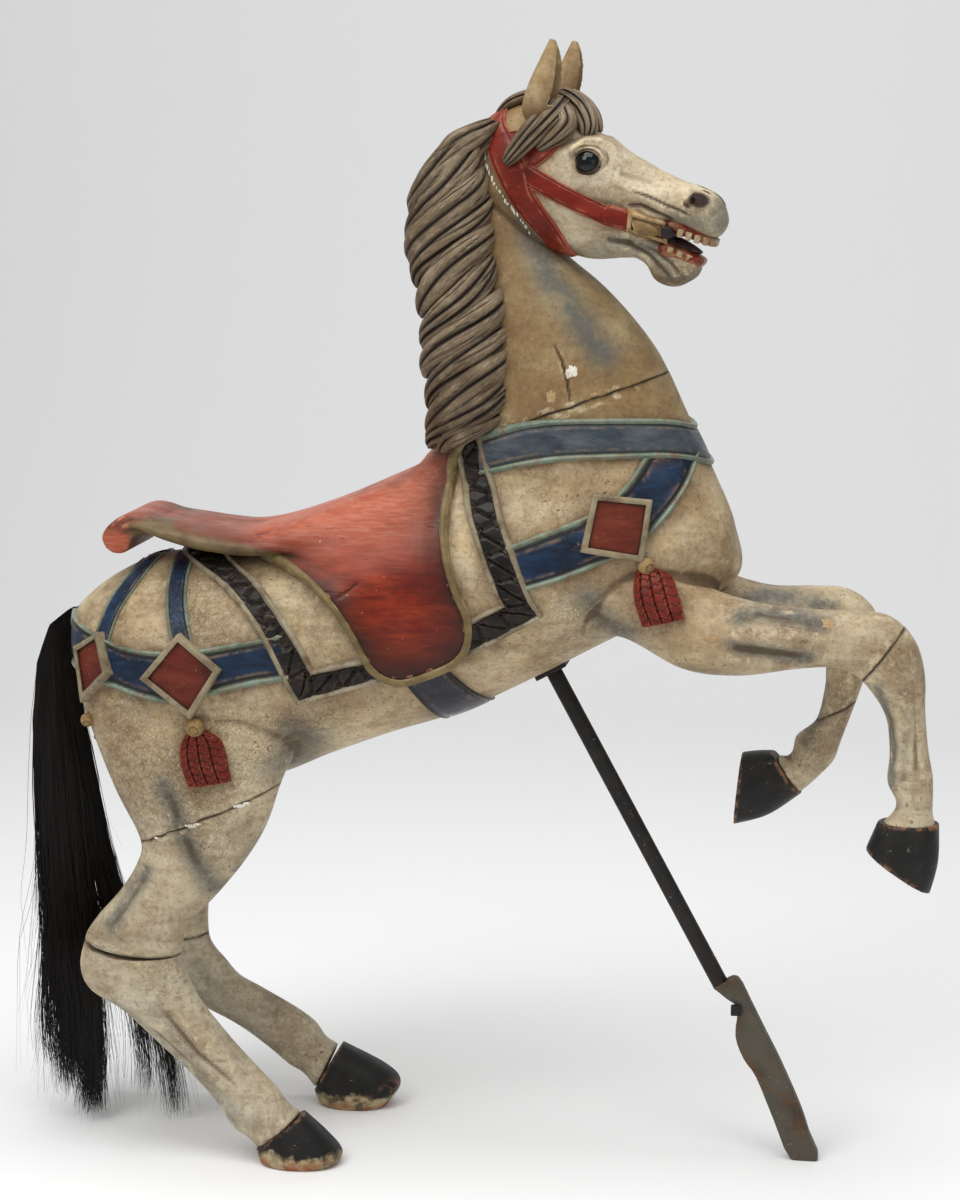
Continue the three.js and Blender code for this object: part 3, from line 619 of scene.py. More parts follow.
def on_head(xz, side):
    """Points on the head at side-view places (x, z) of the unturned head."""
    flat = xz.reshape(-1, 2)
    way = yawed(np.array([POLL_X, -side, 0.0]), HEAD_TURN) - yawed(np.array([POLL_X, 0, 0.0]), HEAD_TURN)
    hits = []
    for x, z in flat:
        start = yawed(np.array([x, side * 120.0, z]), HEAD_TURN)
        hit = head_tree.ray_cast(Vector(start), Vector(way))[0]
        if hit is None:
            hit = head_tree.find_nearest(Vector(yawed(np.array([x, side * 12.0, z]), HEAD_TURN)))[0]
        hits.append(np.array(hit))
    points = np.array(hits, float).reshape(*xz.shape[:-1], 3)
    return points, np.broadcast_to(-way, points.shape)


def on_side(xz, side):
    """Points on the carved body at side-view places (x, z), straight across."""
    xz, hits = np.array(xz, float), []
    for x, z in xz.reshape(-1, 2):
        hit = carved_tree.ray_cast(Vector((x, side * 300, z)), Vector((0, -side, 0)))[0]
        if hit is None:
            hit = carved_tree.find_nearest(Vector((x, side * 60, z)))[0]
        hits.append(np.array(hit))
    points = np.array(hits, float).reshape(*xz.shape[:-1], 3)
    return points, np.broadcast_to(np.array([0.0, side, 0]), points.shape)


PLACES = {"coat": on_coat, "head": on_head, "side": on_side}


def calmed(grid, rounds):
    """A grid of points evened out along both ways, its edge points along the edge."""
    g = grid.copy()
    for _ in range(rounds):
        g[1:-1] = g[1:-1] * 0.5 + (g[:-2] + g[2:]) * 0.25
        g[:, 1:-1] = g[:, 1:-1] * 0.5 + (g[:, :-2] + g[:, 2:]) * 0.25
    return g


def grid_normals(g, out):
    du = np.gradient(g, axis=0)
    dv = np.gradient(g, axis=1)
    n = np.cross(du, dv)
    n /= np.linalg.norm(n, axis=-1, keepdims=True) + 1e-9
    flip = np.sign(np.einsum("ijk,ijk->ij", n, out))
    flip[flip == 0] = 1
    return n * flip[..., None]


def shell(name, top, base, marks=None):
    """A closed slab between two grids of points."""
    n, m = top.shape[:2]
    index = np.arange(n * m).reshape(n, m)
    a, b, c, d = index[:-1, :-1], index[1:, :-1], index[1:, 1:], index[:-1, 1:]
    lids = np.stack([a, b, c, d], -1).reshape(-1, 4)
    size = n * m
    rim = np.concatenate([index[:, 0], index[-1, 1:], index[-2::-1, -1], index[0, -2:0:-1]])
    nxt = np.roll(rim, -1)
    walls = np.stack([rim, rim + size, nxt + size, nxt], -1)
    points = np.concatenate([top.reshape(-1, 3), base.reshape(-1, 3)])
    ti, tj = n // 2, m // 2
    normal = np.cross(top[ti + 1, tj] - top[ti, tj], top[ti, tj + 1] - top[ti, tj])
    faces = np.concatenate([lids, lids[:, ::-1] + size, walls])
    if normal @ (top[ti, tj] - base[ti, tj]) < 0:
        faces = faces[:, ::-1]
    piece = mesh_piece(name, points, faces.tolist())
    for key, values in (marks or {}).items():
        mark(piece, key, np.concatenate([values.ravel(), values.ravel()]))
    return piece


def ring_shell(name, top, base):
    """A closed ring-shaped slab between two grids whose first way runs all the way round."""
    n, m = top.shape[:2]
    index = np.arange(n * m).reshape(n, m)
    a, d = index[:, :-1], index[:, 1:]
    b, c = np.roll(a, -1, 0), np.roll(d, -1, 0)
    lids = np.stack([a, b, c, d], -1).reshape(-1, 4)
    size = n * m
    walls = [np.stack([e, e + size, np.roll(e, -1) + size, np.roll(e, -1)], -1)
             for e in (index[::-1, -1], index[:, 0])]
    faces = np.concatenate([lids, lids[:, ::-1] + size, *walls])
    points = np.concatenate([top.reshape(-1, 3), base.reshape(-1, 3)])
    piece = mesh_piece(name, points, faces.tolist())
    only(piece)
    bpy.ops.object.mode_set(mode="EDIT")
    bpy.ops.mesh.select_all(action="SELECT")
    bpy.ops.mesh.normals_make_consistent(inside=False)
    bpy.ops.object.mode_set(mode="OBJECT")
    return piece


def relief(name, first, second, columns, height, side, place="coat", sink=4):
    """A carved band between two edges. columns gives the places across from the band's width,
    height gives (how far it stands out, marks) from the distances to both edges."""
    ends, _ = PLACES[place](np.stack([first, second], 1), side)
    width = np.linalg.norm(ends[:, 0] - ends[:, 1], axis=1)
    share = np.stack([columns(w) for w in width])
    plan = first[:, None] * (1 - share[..., None]) + second[:, None] * share[..., None]
    ground, out = PLACES[place](plan, side)
    ground = calmed(ground, 3)
    normals = grid_normals(ground, out)
    run = np.broadcast_to(runs(ground.mean(1))[:, None], share.shape)
    stand, marks = height(share * width[:, None], (1 - share) * width[:, None], run)
    return shell(name, ground + normals * stand[..., None], ground - normals * sink, marks)


def columns_for(border, middle=9):
    """Places across a band: close together in its two borders, even between them."""
    steps = np.array([0, 0.06, 0.2, 0.5, 0.8, 0.94, 1.0, 1.12]) * border
    def across(width):
        edge = np.minimum(steps / max(width, 1), 0.45)
        inner = np.linspace(edge[-1], 1 - edge[-1], middle + 2)[1:-1]
        return np.concatenate([edge, inner, 1 - edge[::-1]])
    return across


def strap_height(border, low=3.0, high=5.5):
    """A flat strap between two rounded borders."""
    def height(du, dl, run):
        edge = np.minimum(du, dl)
        on_rim = edge <= border * 1.001
        bump = rim_bump(edge, border, high)
        bed = low + 0.6 * np.sin(np.pi * np.clip(du / (du + dl + 1e-6), 0, 1))
        return np.where(on_rim, np.maximum(bump, 0.6),
                        bed - 1.2 * (edge < border * 1.2)), {"rim": on_rim * 1.0}
    return height


QUILT_PITCH = 34.0


def rim_bump(edge, border, high):
    """The round of a border, from the distance to its outer edge."""
    return high * np.sqrt(np.clip(1 - ((edge - border / 2) / (border / 2 + 0.3)) ** 2, 0, 1))


def round_height(low, high, rim):
    """A rounded cord, low at both edges."""
    return lambda du, dl, run: (low + high * np.sqrt(np.clip(1 - ((du - dl) / (du + dl)) ** 2, 0, 1)),
                                {"rim": run * 0 + rim})


def quilt_height(border):
    """Black cloth carved in triangular pillows between two silver borders."""
    def height(du, dl, run):
        inside = du + dl - 2 * border
        edge = np.minimum(du, dl)
        on_rim = edge <= border * 1.001
        v = np.clip((du - border) / (inside + 1e-6), 0, 1)
        pitch = QUILT_PITCH
        wave = np.abs((run / pitch) % 1 * 2 - 1)
        from_line = np.abs(v - wave) * inside * 0.66
        pillow = 3.4 * (1 - np.exp(-(from_line / 3.2) ** 2))
        cell = np.where(v > wave, (run / pitch + 0.5) % 1 - 0.5, run / pitch % 1 - 0.5)
        base = np.where(v > wave, 1 - v, v)
        arc = np.abs(np.hypot(cell * pitch, base * inside) - 9)
        pillow -= 1.8 * np.exp(-(arc / 1.5) ** 2)
        bump = rim_bump(edge, border, 7.0)
        return np.where(on_rim, np.maximum(bump, 0.6), 1.6 + pillow), {"rim": on_rim * 1.0}
    return height


COLLAR_TOP = [(10, 931), (66, 945), (115, 950), (200, 950), (250, 944), (290, 920), (350, 895)]
COLLAR_FOOT = [(14, 878), (68, 891), (120, 899), (200, 902), (250, 900), (290, 885), (350, 830)]
BREAST_TOP = [(50, 797), (93, 813), (148, 835), (180, 858), (199, 882), (211, 903)]
BREAST_FOOT = [(74, 743), (118, 757), (178, 782), (208, 795), (244, 835), (266, 872), (274, 905)]
CRUPPER_TOP = [(-222, 686), (-276, 674), (-352, 661), (-422, 663), (-470, 676), (-560, 700)]
CRUPPER_FOOT = [(-214, 629), (-264, 620), (-353, 598), (-391, 600), (-455, 615), (-560, 640)]
BLANKET_OUTER = [
    [(-446, 776), (-424, 774), (-392, 767), (-350, 756), (-307, 737), (-274, 709), (-248, 677), (-228, 640),
     (-207, 598)],
    [(-207, 598), (-164, 610), (-114, 624), (-27, 644), (46, 684), (96, 713)],
    [(96, 713), (83, 735), (65, 784), (46, 832), (34, 868), (22, 902), (14, 935)],
]
BLANKET_INNER = [
    [(-372, 800), (-350, 786), (-322, 773), (-290, 760), (-257, 742), (-227, 712), (-203, 680), (-183, 644)],
    [(-183, 644), (-129, 658), (-60, 672), (10, 711), (44, 728)],
    [(44, 728), (34, 749), (16, 795), (-3, 843), (-12, 879), (-20, 915)],
]


def coat_band(name, top, foot, count, border, height, side, smooth=True, middle=9):
    """A band of relief on the trunk between two side-view edges."""
    lines = [rounded(line) if smooth else line for line in (top, foot)]
    first, second = (coat_edge(line, count) for line in lines)
    return relief(name, first, second, columns_for(border, middle), height, side)


def centred(line, width):
    """The two edges of a band of even width along a line."""
    line = np.array(line, float)
    along = unit(np.gradient(line, axis=0))
    across = np.stack([-along[:, 1], along[:, 0]], -1) * width / 2
    return line + across, line - across


STRAP_BORDER, BLANKET_BORDER = 7.5, 8.5
RUMP_LINE = rounded([(-374, 794), (-362, 720), (-344, 660)])
CROUP_LINE = rounded([(-404, 784), (-426, 740), (-444, 708), (-456, 668)])
GIRTH_EDGES = ([(-104, 680), (-68, 618), (-43, 574), (-18, 530)],
               [(-50, 694), (-17, 639), (14, 601), (42, 556)])
straps, blankets = [], []
for side, tag in SIDES:
    plain = strap_height(STRAP_BORDER)
    breast = coat_band("breast_strap_" + tag, BREAST_TOP, BREAST_FOOT, 110, STRAP_BORDER, plain, side)
    collar = coat_band("collar_" + tag, COLLAR_TOP, COLLAR_FOOT, 150, STRAP_BORDER,
                       strap_height(STRAP_BORDER, 4, 6.5), side)
    crupper = coat_band("crupper_" + tag, CRUPPER_TOP, CRUPPER_FOOT, 170, STRAP_BORDER, plain, side)
    rump = coat_band("rump_strap_" + tag, *centred(RUMP_LINE, 27), 60, 3.5,
                     strap_height(3.5, 2.6, 3.6), side, False, 11)
    croup = coat_band("croup_strap_" + tag, *centred(CROUP_LINE, 22), 60, 3,
                      strap_height(3, 2.6, 3.4), side, False, 11)
    # the collar's end is drawn in to meet its twin at the middle of the chest
    ends = get(collar)
    inward = np.interp(np.abs(ends[:, 1]), [0, 9, 30, 400], [-9.4, -0.4, 30, 400])
    put(collar, np.stack([ends[:, 0], np.where(ends[:, 0] > 200, side * inward, ends[:, 1]), ends[:, 2]], -1))
    straps += [breast, collar, crupper, rump, croup]
    for outer, inner, part in zip(BLANKET_OUTER, BLANKET_INNER, ("rear", "foot", "front")):
        blankets.append(coat_band(f"blanket_{part}_{tag}", outer, inner, 130, BLANKET_BORDER,
                                  quilt_height(BLANKET_BORDER), side, part != "foot", 26))
    straps.append(coat_band("girth_" + tag, *GIRTH_EDGES, 60, 2, strap_height(2, 3.2, 3.4), side, False))


def spot(points, side):
    """Points on the carved body at side-view places, and the way out there."""
    tc = located(points)
    c = np.clip(tc[:, 1], -1, 1)
    theta = np.arccos(np.sign(c) * np.abs(c) ** 1.1)
    ground, out = on_coat(np.stack([tc[:, 0], theta], -1)[None], side)
    return ground[0], unit(out[0])


def plane_of(ground, out):
    """The ways across, down and out of the plane that four corners lie nearest to."""
    across = ground[1] + ground[2] - ground[0] - ground[3]
    down = ground[2] + ground[3] - ground[0] - ground[1]
    normal = np.cross(across, down)
    return across, down, normal * np.sign(normal @ out.mean(0)) / np.linalg.norm(normal)


def plate(name, corners, side, stand, rim, sink=16.0, place=spot):
    """A flat plate with a raised frame mitred round its sunk middle."""
    ground, out = place(corners, side)
    across, down, normal = plane_of(ground, out)
    middle = ground.mean(0)
    flat = ground - normal * ((ground - middle) @ normal)[:, None]
    share = np.linspace(0, 1, 6)
    top = np.array(corners[0]) * (1 - share[:, None]) + np.array(corners[1]) * share[:, None]
    foot = np.array(corners[3]) * (1 - share[:, None]) + np.array(corners[2]) * share[:, None]
    inner = [(a * (1 - t) + b * t) for a, b in zip(top, foot) for t in share]
    bulge = max(0.0, float(np.max((place(inner, side)[0] - middle) @ normal)))
    stand, sink = stand + bulge, sink + bulge
    wide, high = np.linalg.norm(across) / 2, np.linalg.norm(down) / 2
    step = np.array([0, 0.5, 1.4, rim * 0.5, rim - 1.4, rim - 0.4, rim + 0.2, rim + 0.7, rim + 2.5])
    def places(size):
        edge = step / size
        return np.concatenate([edge, np.linspace(edge[-1], 1 - edge[-1], 12)[1:-1], 1 - edge[::-1]])
    u, v = np.meshgrid(places(wide), places(high), indexing="ij")
    grid = ((1 - u) * (1 - v))[..., None] * flat[0] + (u * (1 - v))[..., None] * flat[1] \
        + (u * v)[..., None] * flat[2] + ((1 - u) * v)[..., None] * flat[3]
    edge = np.minimum(np.minimum(u, 1 - u) * wide, np.minimum(v, 1 - v) * high)
    level = np.where(edge < rim, 0.8 * np.sin(np.pi * edge / rim) - 1.6 * np.exp(-edge / 0.6), -4.2)
    level = np.where(edge > rim, level + 1.4 * np.sin(np.pi * u) * np.sin(np.pi * v), level)
    level = level + 0.35 * np.sin(u * 9 + v * 4) * np.sin(v * 7 - u * 5)
    return shell(name, grid + normal * (stand + level)[..., None], grid - normal * sink,
                 {"rim": (edge <= rim * 1.001) * 1.0})


TASSEL_PITCH, TASSEL_STAND = 9.4, 12


def tassel_height(grooves, bulge=9.0):
    """Rows of carved strands on a bulging bell, parted by a few long grooves."""
    def height(du, dl, run):
        u = du / (du + dl + 1e-6)
        v = run / run.max()
        dome = bulge * np.sqrt(np.clip(1 - (2 * u - 1) ** 2, 0, 1)) * (0.55 + 0.45 * np.sin(np.pi * v ** 0.6))
        lock = np.floor(u * (grooves + 1) + 0.5)
        sag = run + 1.6 * np.cos((u * (grooves + 1)) % 1 * 2 * np.pi) + 1.6 * np.sin(lock * 2.4)
        row = (sag / TASSEL_PITCH) % 1
        ridge = 2.0 * row ** 0.35 * (1 - np.exp(-((1 - row) / 0.14) ** 2))
        bend = u + 0.05 * np.sin(v * 3)
        apart = np.abs((bend * (grooves + 1) + 0.5) % 1 - 0.5) / (grooves + 1) * (du + dl)
        groove = 2.6 * np.exp(-(apart / 1.1) ** 2) * (u > 0.1) * (u < 0.9)
        return 2.0 + dome + ridge - groove, {"rim": ridge / 2.2, "groove": np.clip(groove / 2.6, 0, 1)}
    return height


def hung_tassel(name, corners, side, size, grooves):
    """A tassel on its own plane against the body, narrow at the top."""
    ground, out = spot(corners, side)
    across, down, normal = plane_of(ground, out)
    across, down = unit(across), unit(down)
    u, v = np.meshgrid(np.linspace(0, 1, 48), np.linspace(0, 1, 100), indexing="ij")
    half = np.interp(v, [0, 0.25, 0.6, 1], [0.30, 0.80, 0.98, 1]) * size[0] / 2
    grid = ground.mean(0) + across * ((u - 0.5) * 2 * half)[..., None]
    grid = grid + down * ((v - 0.5) * size[1])[..., None]
    rise, marks = tassel_height(grooves, 5)(u * 2 * half, (1 - u) * 2 * half, v * size[1])
    return shell(name, grid + normal * (rise + TASSEL_STAND)[..., None], grid - normal * TASSEL_STAND, marks)


def even_columns(count):
    return lambda width: np.linspace(0, 1, count)


KNOB_FLAT = 1.2


def knob(name, xz, side, radius, out_by):
    """A turned bead with a shallow flat face."""
    ground, out = spot([xz], side)
    centre = (ground[0] + out[0] * out_by) * MM
    piece = primitive(name, "uv_sphere", segments=40, ring_count=24, radius=radius * MM)
    bpy.ops.object.mode_set(mode="EDIT")
    mesh = bmesh.from_edit_mesh(piece.data)
    for vertex in mesh.verts:
        if vertex.co.z > radius * MM * 0.8:
            vertex.co.z -= KNOB_FLAT * MM
    bmesh.update_edit_mesh(piece.data)
    bpy.ops.object.mode_set(mode="OBJECT")
    turn = Vector(out[0]).to_track_quat("Z", "Y").to_matrix().to_4x4()
    piece.data.transform(turn)
    piece.data.transform(Matrix.Translation(Vector(centre)))
    return piece


# ------------------------------------------------------------------ saddle
FLAP_LINE = [
    (-8, 918), (-19, 891), (-23, 855), (-25, 818), (-20, 782), (-9, 745), (4, 715), (6, 691), (0, 671),
    (-15, 655), (-40, 643), (-65, 634), (-79, 631), (-96, 635), (-112, 647), (-124, 668), (-136, 690),
    (-153, 714), (-178, 738), (-213, 757), (-248, 769), (-281, 779), (-319, 787), (-353, 791), (-386, 797),
]
CURL = [(-340, 799), (-368, 807), (-396, 812), (-414, 818), (-434, 820), (-451, 813), (-466, 800),
        (-471, 787), (-464, 773), (-449, 768), (-436, 774), (-433, 785), (-424, 791), (-410, 792),
        (-394, 790), (-360, 784), (-330, 786)]
FLAP_TOP = [(-386, 872), (-90, 922), (-8, 926)]
FLAP_REACH, CURL_REACH = 220, 66
flap = side_block("flap", [*rounded(FLAP_LINE, 5).tolist(), *FLAP_TOP], -FLAP_REACH, FLAP_REACH)
saddle_coat = limb("saddle", TRUNK[:NECK_SEAM + 2], sides=96, lift=9.5)
cut(saddle_coat, flap, "INTERSECT")
cut(saddle_coat, limb("inner", TRUNK[:NECK_SEAM + 2], sides=48, lift=-9))
saddle = fused("saddle", [saddle_coat, limb("seat", SEAT, square=2.6),
                          side_block("curl", rounded(CURL, 4).tolist(), -CURL_REACH, CURL_REACH)], 2.6, 9)
points, pairs = get(saddle), edge_pairs(saddle)
calm_zone = eased(points[:, 0], -365, -305) * (1 - eased(points[:, 0], -60, -20))
calm_zone *= eased(np.abs(points[:, 1]), 8, 30)
inset = line_distance(points[:, [0, 2]], FLAP_LINE)[0]
high = eased(points[:, 2], 735, 765)
calm_zone *= eased(inset, 5, 26) * high + eased(inset, 10, 40) * (1 - high)
put(saddle, points + (evened(points, pairs, 420) - points) * calm_zone[:, None])
gouge(saddle, [([(-395, 806), (-375, 795), (-350, 790)], 7, 2.5, NEAR),
               ([(-270, 800), (-245, 806)], 1.8, 3, NEAR),
               ([(-154, 731), (-140, 742), (-128, 752)], 1.6, 2.0, NEAR)])

outer, inner = (coat_edge(line, 230) for line in centred(rounded(FLAP_LINE, 5), 9.5))
rolls = [relief("flap_roll_" + tag, outer, inner, even_columns(15), round_height(7.5, 6.5, 1), side)
         for side, tag in SIDES]

# ------------------------------------------------------------------ plates, knobs and tassels
PLATE_STAND = 11
CHEST_PLATE = [(153, 860), (224, 853), (215, 778), (140, 791)]
RUMP_PLATE = [(-350, 684), (-296, 641), (-334, 579), (-399, 627)]
REAR_PLATE = [(-489, 656), (-451, 679), (-436, 630), (-476, 588)]
REAR_TASSEL = [(-482, 569), (-462, 571), (-444, 500), (-464, 497)]
TASSEL_EDGES = (  # name, left edge, right edge, long grooves
    ("chest_tassel_", [(208, 770), (205, 748), (209, 726), (217, 703)],
     [(222, 774), (243, 765), (258, 742), (268, 713)], 3),
    ("rump_tassel_", [(-341, 563), (-351, 541), (-350, 518), (-342, 491)],
     [(-322, 565), (-301, 553), (-294, 532), (-289, 500)], 3))
plates, knobs, tassels = [], [], []
for side, tag in SIDES:
    plates += [plate("chest_plate_" + tag, CHEST_PLATE, side, PLATE_STAND, 7.5),
               plate("rump_plate_" + tag, RUMP_PLATE, side, PLATE_STAND, 7.5),
               plate("rear_plate_" + tag, REAR_PLATE, side, PLATE_STAND, 7, place=on_side)]
    knobs += [knob("chest_knob_" + tag, (215, 777), side, 10.5, 7),
              knob("rump_knob_" + tag, (-331, 571), side, 11.5, 7),
              knob("rear_knob_" + tag, (-480, 576), side, 9, 5)]
    for name, left, right, grooves in TASSEL_EDGES:
        first, second = (resampled(rounded(line, 8), 110) for line in (left, right))
        tassels.append(relief(name + tag, first, second, even_columns(48),
                              tassel_height(grooves), side, "side", sink=6))
    tassels.append(hung_tassel("rear_tassel_" + tag, REAR_TASSEL, side, (34, 74), 2))

# ------------------------------------------------------------------ hooves
hooves = [limb(name, rows, sides=96, square=2.3, steps=10) for name, rows in (
    ("hoof_hind_right", HOOF_HIND_NEAR), ("hoof_hind_left", HOOF_HIND_FAR),
    ("hoof_fore_right", HOOF_FORE_NEAR), ("hoof_fore_left", HOOF_FORE_FAR))]
for hoof in hooves:
    softened(hoof, 1.8, 3)
for hoof in hooves[:2]:
    cut(hoof, side_block("ground", [(-400, 0.2), (100, 0.2), (100, -80), (-400, -80)], -300, 300))

# ------------------------------------------------------------------ ears
def ear(side, tag):
    """A pricked ear, hollowed at its front."""
    place = lambda rows: [[ax, az, bx, bz, half, side * y] for ax, az, bx, bz, half, y in rows]
    hollow = [[ax + 10, az, bx + 17, bz, half * 0.62, y + 1] for ax, az, bx, bz, half, y in EAR[2:]]
    outer = limb("ear_" + tag, place(EAR), sides=48, turn=head_turn)
    cut(outer, limb("hollow", place(hollow), sides=40, turn=head_turn))
    return softened(outer, 1.3, 3)


ears = [ear(*row) for row in SIDES]


# ------------------------------------------------------------------ fluted hair
HAIR_SIDES = 88


def fluted(name, path, outward, wide, thick, grooves, seed, twist=0.6):
    """A carved lock of hair along a path: a tapered rope with sharp grooves running down it."""
    rng = np.random.default_rng(seed)
    n = len(path)
    s = np.linspace(0, 1, n)
    along = unit(np.gradient(path, axis=0))
    up = unit(outward - along * np.einsum("ij,ij->i", outward, along)[:, None])
    across = np.cross(along, up)
    angle = np.linspace(0, 2 * np.pi, HAIR_SIDES, endpoint=False)
    lines = np.linspace(0.1, 0.9, grooves) * np.pi + rng.uniform(-0.1, 0.1, grooves)
    depth = rng.uniform(0.75, 1.1, grooves)
    size = np.ones((n, HAIR_SIDES))
    def gap_to(line):
        where = line + twist * (s - 0.5) + 0.13 * np.sin(s * 6 + line * 9)
        return np.abs((angle[None] - where[:, None] + np.pi) % (2 * np.pi) - np.pi)
    for line, deep in zip(lines, depth):
        gap = gap_to(line)
        size -= 0.24 * deep * np.exp(-(gap / 0.11) ** 2) + 0.09 * np.exp(-(gap / 0.30) ** 2)
    for line in np.concatenate([(lines[:-1] * 2 + lines[1:]) / 3, (lines[:-1] + lines[1:] * 2) / 3,
                                [lines[0] - 0.16, lines[-1] + 0.16]]):
        fading = np.clip(np.sin(s * 9 + line * 30) * 0.7 + 0.6, 0, 1)[:, None]
        size -= 0.075 * np.exp(-(gap_to(line) / 0.065) ** 2) * fading
    size = np.clip(size, 0.52, 1)
    ring = path[:, None] + across[:, None] * (wide[:, None] * np.cos(angle) * size)[..., None] \
        + up[:, None] * (thick[:, None] * np.sin(angle) * size)[..., None]
    piece = tube(name, ring)
    cavity = np.concatenate([((1 - size) * 3.2).ravel(), [0, 0]])
    mark(piece, "groove", np.clip(cavity, 0, 1))
    length = np.linalg.norm(np.diff(path, axis=0), axis=1).sum() / 100
    mark(piece, "along", np.concatenate([np.repeat(s * length + seed, HAIR_SIDES), [0, 1]]))
    turned = (angle[None] - twist * (s[:, None] - 0.5) - 0.13 * np.sin(s * 6 + 4)[:, None]).ravel()
    mark(piece, "around", np.concatenate([turned, [0, 0]]))
    return piece


def swelling(s, start=0.12, end=0.06):
    """Width along a lock: full in the middle, narrow at both ends."""
    rise = np.clip(s / 0.35, 0, 1) * (1 - start) + start
    fall = np.clip((1 - s) / 0.45, 0, 1) * (1 - end) + end
    return (np.sin(rise * np.pi / 2) * np.sin(fall * np.pi / 2)) ** 0.6


MANE_MIDDLE = -26


def mane_at(z, column):
    rows = np.array(MANE, float)[::-1]
    return np.interp(z, rows[:, 1], rows[:, column])


def mane_lock(name, top, drop, start, end, wide, thick, grooves, seed):
    """A lock that sweeps back and down over the mane's bed."""
    s = np.linspace(0, 1, 56)
    z = top - drop * s
    slide = 0.25 * s + 0.75 * eased(s, 0.0, 1.0) + 0.035 * np.sin(s * 6.3 + seed * 1.7)
    across = start + (end - start) * slide
    left, right, half = mane_at(z, 0), mane_at(z, 2), mane_at(z, 4)
    x = (left + right) / 2 + (right - left) / 2 * across
    depth = np.sqrt(np.clip(1 - across ** 2, 0, 1))
    y = MANE_MIDDLE - (half - 4) * depth
    outward = unit(np.stack([across / ((right - left) / 2), -depth / half, 0 * z], -1))
    turn = HEAD_TURN * np.clip((z - 905) / 395, 0, 1)
    path = yawed(np.stack([x, y, z], -1), turn)
    return fluted(name, path, outward, wide * swelling(s), thick * swelling(s), grooves, seed)


LOCKS = [  # top, drop, start, end, half width, thickness, grooves
    (1304, 112, 0.70, -0.97, 25, 15, 4), (1284, 128, 0.93, -0.96, 23, 16, 4),
    (1250, 118, 0.95, -0.95, 23, 17, 3), (1216, 112, 0.95, -0.95, 22, 17, 4),
    (1180, 110, 0.96, -0.95, 23, 18, 3), (1142, 112, 0.96, -0.95, 22, 17, 4),
    (1106, 112, 0.97, -0.95, 23, 18, 3), (1069, 112, 0.97, -0.95, 22, 17, 4),
    (1033, 108, 0.97, -0.95, 23, 18, 3), (999, 90, 0.97, -0.90, 21, 17, 4),
    (1299, 92, 0.30, -0.92, 18, 14, 3), (968, 62, 0.95, -0.6, 17, 14, 3)
]
mane = [limb("mane_bed", [[ax + 8, az, bx - 8, bz, half - 10, y] for ax, az, bx, bz, half, y in MANE],
             sides=64, turn=(HEAD_TURN, 0))]
mane += [mane_lock(f"mane_lock_{i + 1:02d}", *lock, i + 3) for i, lock in enumerate(LOCKS)]


FORELOCK_CENTRE = np.array([95.0, 0, 1270])


def head_strand(name, points, wide, thick, grooves, seed):
    """A lock of the forelock through points of the unturned head."""
    path = smooth_rows([[x, z, 0, 0, 0, y] for x, y, z in points], 14)[:, [0, 5, 1]]
    outward = unit(path - FORELOCK_CENTRE)
    s = np.linspace(0, 1, len(path))
    turned = yawed(path, HEAD_TURN)
    facing = yawed(outward + [POLL_X, 0, 0], HEAD_TURN) - yawed(np.array([POLL_X, 0.0, 0]), HEAD_TURN)
    return fluted(name, turned, facing, wide * swelling(s, 0.4, 0.1), thick * swelling(s, 0.4, 0.12), grooves,
                  seed, 0.3)


FORELOCK = [  # name, points of the unturned head, half width, thickness, grooves, seed
    ("sweep", [(108, -6, 1330), (106, -32, 1322), (94, -54, 1303), (76, -64, 1281), (52, -62, 1255)],
     17, 10, 4, 21),
    ("top", [(92, 8, 1330), (112, -2, 1334), (132, -10, 1320), (143, -18, 1300), (142, -22, 1284)],
     17, 11, 4, 22),
    ("under", [(104, -20, 1326), (118, -34, 1314), (124, -44, 1300), (112, -54, 1286), (92, -60, 1272)],
     13, 9, 3, 23),
    ("far", [(92, 16, 1330), (116, 20, 1332), (138, 14, 1314), (150, 6, 1292)],
     15, 10, 3, 24),
    ("poll", [(98, -4, 1330), (70, -6, 1336), (44, -8, 1328), (24, -8, 1312)],
     14, 8, 3, 25),
]
forelock = [head_strand("forelock_" + name, *shape) for name, *shape in FORELOCK]

# ------------------------------------------------------------------ bridle
CROWN_REAR = [(14, 1306), (15, 1295), (28, 1262), (45, 1228), (64, 1198), (88, 1169), (106, 1146)]
CROWN_FRONT = [(40, 1330), (44, 1305), (62, 1280), (80, 1252), (86, 1224), (97, 1205), (113, 1182),
               (133, 1146)]
CHEEK_TOP = [(62, 1268), (91, 1249), (120, 1233), (151, 1217), (179, 1203), (205, 1196)]
CHEEK_FOOT = [(60, 1238), (84, 1224), (120, 1206), (152, 1192), (177, 1180), (205, 1173)]
BROW_TOP = [(52, 1292), (84, 1296), (112, 1306), (132, 1312)]
BROW_FOOT = [(80, 1246), (96, 1253), (110, 1266), (124, 1282)]


def leather_height(low, high, rim):
    def height(du, dl, run):
        edge = np.minimum(du, dl)
        line = np.exp(-((edge - rim) / 0.7) ** 2)
        return low + (high - low) * np.sqrt(np.clip(edge / 2.2, 0,
                                                    1)) - 1.4 * line, {"rim": (edge < rim * 0.8) * 1.0}
    return height


LEATHER_RIM = 2.6


def head_band(name, top, foot, count, low, high, side):
    first, second = (resampled(rounded(line), count) for line in (top, foot))
    return relief(name, first, second, columns_for(LEATHER_RIM, 11), leather_height(low, high, LEATHER_RIM),
                  side, "head")


